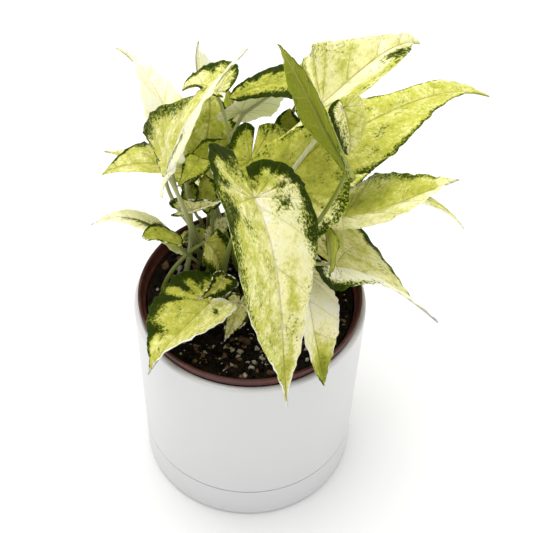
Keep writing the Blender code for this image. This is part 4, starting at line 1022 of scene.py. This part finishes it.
def soil_height(x, y):
    """Height of the soil's surface: low mounds with crumbs between them, banked up along the wall.

    The crumbs are the absolute value of a sum of waves, each of a random length and direction. The
    mounds fade out from 48 to 58 mm off the axis, and the bank rises from 36 to 56 mm.
    """
    mounds = 0.8 * np.sin(0.16 * x + 0.7) * np.cos(0.14 * y) + 0.5 * np.sin(0.31 * y - 0.2 * x)
    draw = np.random.default_rng(31)
    waves = 26
    crumbs = 0 * x
    for _ in range(waves):
        turn = draw.uniform(0, 2 * np.pi)
        wave = draw.uniform(0.5, 2.6)
        along = x * np.cos(turn) + y * np.sin(turn)
        crumbs = crumbs + np.sin(wave * along + draw.uniform(0, 6.3)) / waves**0.5
    away = np.hypot(x, y)
    inside = np.clip((58 - away) / 10, 0, 1)
    bank = SOIL_BANK * smooth_step(36, 56, away)
    return sizes()["soil_level"] + bank + mounds * inside + 0.7 * np.abs(crumbs)


def ball(rings, sides):
    """A unit sphere of theta down from the top and phi about Z: its points and triangles."""
    theta = np.linspace(0, np.pi, rings + 1)[:, None]
    phi = 2 * np.pi * np.arange(sides) / sides
    points = [np.sin(theta) * np.cos(phi), np.sin(theta) * np.sin(phi), np.cos(theta) + 0 * phi]
    starts = np.arange(rings + 1) * sides
    faces = band_faces(starts[:-1], starts[1:], sides)[:, ::-1]
    return welded(np.stack(points, -1).reshape(-1, 3), faces)


def grains(count, size_range, flatness, seed, front=0.5):
    """Joined lumps on the soil: balls that are stretched, dented, turned, tipped and set down.

    size_range: least and greatest width. flatness: height against width. front: the share that lies in
    the front half of the bed.
    """
    draw = np.random.default_rng(seed)
    sphere, triangles = ball(5, 8)
    radius = draw.uniform(*size_range, count) / 2
    stretch = draw.uniform(0.6, 1.5, (count, 3))
    stretch[:, 2] = stretch[:, 2] * flatness
    dents = 1 + 0.30 * draw.uniform(-1, 1, (count, len(sphere)))
    shapes = sphere[None] * dents[..., None] * stretch[:, None] * radius[:, None, None]
    turn = draw.uniform(0, 2 * np.pi, count)
    tip = draw.uniform(-0.5, 0.5, count)
    c, s = np.cos(turn), np.sin(turn)
    d, e = np.cos(tip), np.sin(tip)
    about = np.stack([np.stack([c, -s * d, s * e], -1), np.stack([s, c * d, -c * e], -1),
                      np.stack([0 * c, e, d], -1)], 1)
    shapes = np.einsum("nij,nkj->nki", about, shapes)
    bed = sizes()["lip_radius"] - LIP_TO_GRAINS
    angle = draw.uniform(0, np.pi, count)
    angle = np.where(draw.random(count) < front, -angle, angle)
    away = bed * np.sqrt(draw.uniform(0.0, 0.985, count))
    x, y = away * np.cos(angle), away * np.sin(angle)
    middle = np.stack([x, y, soil_height(x, y) + 0.25 * radius * flatness], -1)
    points = (shapes + middle[:, None]).reshape(-1, 3)
    faces = triangles[None] + (np.arange(count) * len(sphere))[:, None, None]
    return points, faces.reshape(-1, 3)


def joined(parts):
    """Several (points, triangles) as one, with the number of each part for its faces."""
    start = np.cumsum([0] + [len(points) for points, _ in parts[:-1]])
    points = np.vstack([points for points, _ in parts])
    triangles = np.vstack([triangles + first for (_, triangles), first in zip(parts, start)])
    kinds = np.concatenate([np.full(len(triangles), n) for n, (_, triangles) in enumerate(parts)])
    return points, triangles, kinds


def make_leaf(name):
    """One leaf: its blade as a thin closed shell, and its stalk with the midrib under the blade.

    Its mesh carries three vectors. flat: the place in the flat blade, 137 mm on for each leaf so that no
    two have the same clouds. shares: dark, green and white. veins: on the blade the distance to a vein,
    b and which side it is, and on the stalk the way along, how pale it is and 0.
    """
    spec = LEAVES[name]
    large = blade_axes(spec)[0] > LARGE_BLADE
    cells, steps = (8, 24) if large else (5, 15)
    sheet, triangles = blade_sheet(spec, cells * SIDE_VEINS + 1, steps)
    plate = bpy.context.scene.plant_looks.thickness / MM
    swell = MIDRIB_SWELL * np.exp(-(sheet[:, 4] / MIDRIB_REACH)**2)
    blade, blade_faces = shell(sheet, triangles, plate * (1 - 0.5 * sheet[:, 10]**3) + swell)
    rod, rod_faces, along = stalk(spec)
    points, faces, kinds = joined([(blade[:, :3], blade_faces), (rod, rod_faces)])
    materials = [finish("leaf_blade", dress_blade), finish("leaf_stalk", dress_stalk)]
    piece = add_mesh(name + "_leaf", points, faces, materials, kinds)
    none = np.zeros((len(rod), 3))
    put_vectors(piece, "flat", np.vstack([blade[:, 3:6] + (137.0 * spec["number"], 0, 0), none]))
    put_vectors(piece, "shares", np.vstack([blade[:, 7:10], none]))
    on_stalk = np.stack([along, PAINT[name]["stalk"] + 0 * along, 0 * along], -1)
    put_vectors(piece, "veins", np.vstack([blade[:, (6, 10, 5)], on_stalk]))
    seat(piece, "leaf_" + name)


LEAF_GROUPS = {
    "front": ("front_long", "front_right", "lower_left", "small_front", "small_dark", "cup_round"),
    "right": ("right_droop", "right_mid", "right_low", "right_upper", "center_right", "curl_right"),
    "top": ("folded_strip", "top_right", "young_round", "arched", "top_left_green", "top_small",
            "left_big"),
    "middle": ("center_back", "dark_back", "pale_back", "olive_mid", "olive_low", "amber_back",
               "curl_small", "mid_green", "mid_dark", "folded_small", "cream_curl"),
    "left": ("top_left_pale", "left_out", "left_tip", "left_low_long", "left_low_small", "left_low_round"),
    "rear": ("rear_mid", "rear_right", "rear_left"),
}

# The camera's place in metres and its right, up and forward directions.
CAMERA_PLACE = (0.0, -0.4748, 0.6937)
CAMERA_RIGHT = (0.9998, 0.0044, 0.0200)
CAMERA_UP = (-0.0165, 0.7489, 0.6624)
CAMERA_AHEAD = (0.0121, 0.6626, -0.7489)


def make_camera(lens):
    """The camera that sees the plant from above its front."""
    data = bpy.data.cameras.new("studio_camera")
    data.sensor_width = 36.0
    data.lens = lens
    camera = bpy.data.objects.new("studio_camera", data)
    back = [-v for v in CAMERA_AHEAD]
    turn = Matrix((CAMERA_RIGHT, CAMERA_UP, back)).transposed().to_4x4()
    camera.matrix_world = Matrix.Translation(CAMERA_PLACE) @ turn
    bpy.context.scene.collection.objects.link(camera)
    bpy.context.scene.camera = camera


def make_lamp(name, place, target, size, power, color):
    """A square soft light that faces a target. Lengths are in metres."""
    data = bpy.data.lights.new(name, "AREA")
    data.size = size
    data.energy = power
    data.color = color
    lamp = bpy.data.objects.new(name, data)
    lamp.location = place
    lamp.rotation_euler = (Vector(target) - lamp.location).to_track_quat("-Z", "Y").to_euler()
    bpy.context.scene.collection.objects.link(lamp)


def make_floor():
    """A wide flat square just under the saucer."""
    half = 4000.0
    points = np.array([(-half, -half, 0), (half, -half, 0), (half, half, 0), (-half, half, 0)])
    faces = np.array([(0, 1, 2), (0, 2, 3)])
    floor = add_mesh("studio_floor", points, faces, [finish("studio_floor", dress_floor)])


def user_colour(name, description, default):
    """A colour that a user may change."""
    return FloatVectorProperty(name=name, description=description, subtype="COLOR", size=3, min=0, max=1,
                               default=default)


def user_length(name, description, default):
    """A length in metres that a user may change."""
    return FloatProperty(name=name, description=description, unit="LENGTH", default=default)


class PlantLooks(bpy.types.PropertyGroup):
    """Colours of the blades and how thick they are."""

    cream: user_colour("Cream", "Palest part of a blade", (0.92, 0.88, 0.50))
    lime: user_colour("Yellow-green", "Blade between cream and olive", (0.56, 0.55, 0.10))
    olive: user_colour("Olive", "Greenest ground of a blade", (0.22, 0.25, 0.010))
    mid_green: user_colour("Leaf green", "Paler dark flecks", (0.10, 0.13, 0.004))
    deep_green: user_colour("Deep green", "Darkest flecks and margins", (0.018, 0.030, 0.0005))
    thickness: FloatProperty(name="Blade thickness", description="Thickness of a blade between its veins",
                             subtype="DISTANCE", unit="LENGTH", min=0.0001, max=0.001, default=0.00045)


def box_size(node):
    """Half the width of a CAD node and the height of its top, in metres."""
    low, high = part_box(node)
    return (high[0] - low[0]) / 2, high[2]


COVER_SIZE = box_size("cover_pot")
GROW_SIZE = box_size("grow_pot")


class PotSizes(bpy.types.PropertyGroup):
    """Sizes of the pots, taken from the frame where it gives them."""

    rim_radius: user_length("Rim radius", "Outer radius of the cover pot at its rim", COVER_SIZE[0])
    base_radius: user_length("Base radius", "Outer radius of the saucer at its base", 0.0634)
    pot_height: user_length("Pot height", "Height of the cover pot's rim above the floor", COVER_SIZE[1])
    saucer_height: user_length("Saucer height", "Height of the saucer's edge", box_size("saucer")[1])
    wall: user_length("Wall", "Thickness of the ceramic wall", 0.004)
    lip_radius: user_length("Lip radius", "Outer radius of the nursery pot's lip", GROW_SIZE[0])
    lip_height: user_length("Lip height", "Height of the flared lip", 0.0054)
    lip_top: user_length("Lip top", "Height of the lip's upper edge above the floor", GROW_SIZE[1])
    soil_level: user_length("Soil level", "Height of the soil above the floor", SOIL_LEVEL * MM)


def sizes():
    """The pots' sizes in millimetres."""
    pots = bpy.context.scene.pot_sizes
    return {name: getattr(pots, name) / MM for name in PotSizes.__annotations__}


def outer_radius(size, height):
    """Outer radius of the tapered ceramic at a height."""
    return size["base_radius"] + (size["rim_radius"] - size["base_radius"]) * height / size["pot_height"]


class StudioLight(bpy.types.PropertyGroup):
    """The lens and how bright the studio is."""

    lens: FloatProperty(name="Lens", description="Focal length of the camera", unit="CAMERA", default=87.6)
    world: FloatProperty(name="Surround", description="Strength of the even white surround", min=0,
                         default=0.7)
    key: FloatProperty(name="Key light", description="Power of the large soft light overhead",
                       unit="POWER", min=0, default=56.0)


class PlantOperator:
    """What the plant's operators share."""

    bl_options = {"REGISTER", "UNDO"}


class PLANT_OT_saucer(PlantOperator, bpy.types.Operator):
    """Make the white saucer"""

    bl_idname = "plant.saucer"
    bl_label = "Saucer"

    def execute(self, context):
        size = sizes()
        top = size["saucer_height"]
        base = size["base_radius"]
        wall = size["wall"] - 0.8
        inner = outer_radius(size, top) - wall
        top = top - 0.4
        foot = base - 2.2
        corners = [(0, 0, 0), (foot, 0, 0.4), (foot + 0.3, 1.1, 0.4), (base + 0.1, 1.5, 1.2),
                   (outer_radius(size, top), top, 0.3), (inner, top, 0.9), (inner, SAUCER_FLOOR, 3),
                   (0, SAUCER_FLOOR, 0)]
        points, faces = lathe(rounded(corners, 8), POT_SIDES)
        piece = add_mesh("white_saucer", points, faces, [finish("white_glaze", dress_glaze)])
        seat(piece, "saucer")
        return {"FINISHED"}


class PLANT_OT_cover_pot(PlantOperator, bpy.types.Operator):
    """Make the white cover pot, whose stepped foot stands in the saucer and leaves a fine shadow line"""

    bl_idname = "plant.cover_pot"
    bl_label = "Cover pot"

    def execute(self, context):
        size = sizes()
        rim = size["rim_radius"]
        top = size["pot_height"]
        wall = size["wall"]
        under = SAUCER_FLOOR + FLOOR_GAP
        shoulder = size["saucer_height"] + 0.3
        foot = outer_radius(size, size["saucer_height"]) - wall + 0.5
        corners = [(DRAIN_RADIUS, under, 1), (foot, under, 1.2), (foot, shoulder, 0.3),
                   (outer_radius(size, shoulder), shoulder, 0.35), (rim, top, 2.4), (rim - wall, top, 1.5),
                   (outer_radius(size, 32) - wall, 32, 3), (foot - wall, 25, 3),
                   (foot - wall, COVER_POT_FLOOR, 3), (DRAIN_RADIUS, COVER_POT_FLOOR, 1)]
        points, faces = lathe(rounded(corners, 8), POT_SIDES)
        piece = add_mesh("white_cover_pot", points, faces, [finish("white_glaze", dress_glaze)])
        seat(piece, "cover_pot")
        return {"FINISHED"}


class PLANT_OT_grow_pot(PlantOperator, bpy.types.Operator):
    """Make the brown nursery pot: a thin tapered wall under a flared lip, and a drain hole"""

    bl_idname = "plant.grow_pot"
    bl_label = "Nursery pot"

    def execute(self, context):
        size = sizes()
        lip = size["lip_radius"]
        top = size["lip_top"]
        neck = top - size["lip_height"]
        under = COVER_POT_FLOOR + FLOOR_GAP
        hole = DRAIN_RADIUS + 1
        corners = [(hole, under, 0.3), (45, under, 1.2), (lip - 3, neck, 0.4), (lip - 1, neck, 0.4),
                   (lip, top, 1.1), (lip - 1.8, top, 0.8), (lip - 2.8, neck + 0.6, 0.8),
                   (lip - 4.4, neck - 1.2, 0.8), (43.6, GROW_POT_FLOOR, 1.5), (hole, GROW_POT_FLOOR, 0.3)]
        points, faces = lathe(rounded(corners, 7), POT_SIDES)
        piece = add_mesh("brown_grow_pot", points, faces, [finish("nursery_plastic", dress_plastic)])
        seat(piece, "grow_pot")
        return {"FINISHED"}


class PLANT_OT_soil(PlantOperator, bpy.types.Operator):
    """Make the bed of soil, a lathe whose top rings follow the soil's height"""

    bl_idname = "plant.soil"
    bl_label = "Soil bed"

    def execute(self, context):
        size = sizes()
        level = size["soil_level"]
        under = GROW_POT_FLOOR + FLOOR_GAP
        side = size["lip_radius"] - LIP_TO_SOIL
        profile = [(0, under), (43.0, under), (side, level - 3)]
        profile += [(radius, level) for radius in np.linspace(side + 1.2, 0, 100)]

        def relief(points):
            on_top = points[:, 2] > level - 1
            return np.where(on_top, soil_height(points[:, 0], points[:, 1]) - level, 0)

        points, faces = lathe(profile, 220, relief)
        seat(add_mesh("soil_bed", points, faces, [crumbly("soil_earth")]), "soil")
        return {"FINISHED"}


class PLANT_OT_grains(PlantOperator, bpy.types.Operator):
    """Make the perlite, bark chips and crumbs of earth on the soil, and the cut stub of an old stalk"""

    bl_idname = "plant.grains"
    bl_label = "Soil grains"

    def execute(self, context):
        stub_path = [(-1, -25, 119), (-2, -26, 123), (-4, -27, 126), (-6, -27.5, 127.5)]
        stub = tube(stub_path, (2.2, 2.1, 1.8, 1.2), wobble=0.12, seed=4)[:2]
        points, faces, kinds = joined([
            grains(230, size_range=(1.0, 3.2), flatness=0.75, seed=11, front=0.62),
            grains(200, size_range=(1.2, 4.6), flatness=0.5, seed=12, front=0.6),
            grains(1500, size_range=(0.8, 3.4), flatness=0.8, seed=13), stub])
        finishes = [crumbly(name) for name in ("perlite", "bark_chip", "soil_earth", "old_stalk")]
        seat(add_mesh("soil_grains", points, faces, finishes, kinds), "soil")
        return {"FINISHED"}


class PLANT_OT_leaves(PlantOperator, bpy.types.Operator):
    """Make one group of leaves"""

    bl_idname = "plant.leaves"
    bl_label = "Leaves"

    group: EnumProperty(name="Group", description="Which leaves to make", default="front",
                        items=[(key, key.title(), "Leaves at the " + key) for key in LEAF_GROUPS])

    def execute(self, context):
        for name in LEAF_GROUPS[self.group]:
            make_leaf(name)
        return {"FINISHED"}


class PLANT_OT_studio(PlantOperator, bpy.types.Operator):
    """Make the floor, the soft light, the surround and the camera"""

    bl_idname = "plant.studio"
    bl_label = "Studio"

    def execute(self, context):
        studio = context.scene.studio_light
        make_floor()
        make_lamp("soft_key", place=(-0.2, 0.5, 2.4), target=(0.0, 0.0, 0.12), size=2.4, power=studio.key,
                  color=(1.0, 0.99, 0.97))
        world = bpy.data.worlds.new("studio_surround")
        world.use_nodes = True
        background = world.node_tree.nodes["Background"]
        Wiring(world.node_tree).wire(background, Color=(1.0, 1.0, 1.0, 1.0), Strength=studio.world)
        context.scene.world = world
        context.scene.view_settings.view_transform = "Standard"
        make_camera(studio.lens)
        return {"FINISHED"}


class PLANT_PT_panel(bpy.types.Panel):
    """Sizes, colours and makers of the potted syngonium"""

    bl_label = "Potted syngonium"
    bl_space_type = "VIEW_3D"
    bl_region_type = "UI"
    bl_category = "Plant"

    def draw(self, context):
        layout = self.layout
        for settings in (context.scene.pot_sizes, context.scene.plant_looks, context.scene.studio_light):
            box = layout.box()
            for name in settings.__annotations__:
                box.prop(settings, name)
        for maker in ("saucer", "cover_pot", "grow_pot", "soil", "grains"):
            layout.operator("plant." + maker)
        for group in LEAF_GROUPS:
            layout.operator("plant.leaves", text="Leaves, " + group).group = group
        layout.operator("plant.studio")


CLASSES = (PlantLooks, PotSizes, StudioLight, PLANT_OT_saucer, PLANT_OT_cover_pot, PLANT_OT_grow_pot,
           PLANT_OT_soil, PLANT_OT_grains, PLANT_OT_leaves, PLANT_OT_studio, PLANT_PT_panel)


def register():
    for item in CLASSES:
        bpy.utils.register_class(item)
    bpy.types.Scene.plant_looks = PointerProperty(type=PlantLooks)
    bpy.types.Scene.pot_sizes = PointerProperty(type=PotSizes)
    bpy.types.Scene.studio_light = PointerProperty(type=StudioLight)


def unregister():
    del bpy.types.Scene.studio_light
    del bpy.types.Scene.pot_sizes
    del bpy.types.Scene.plant_looks
    for item in reversed(CLASSES):
        bpy.utils.unregister_class(item)


def main():
    register()
    bpy.ops.plant.studio()
    bpy.ops.plant.saucer()
    bpy.ops.plant.cover_pot()
    bpy.ops.plant.grow_pot()
    bpy.ops.plant.soil()
    bpy.ops.plant.grains()
    for group in LEAF_GROUPS:
        bpy.ops.plant.leaves(group=group)


if __name__ == "__main__":
    main()
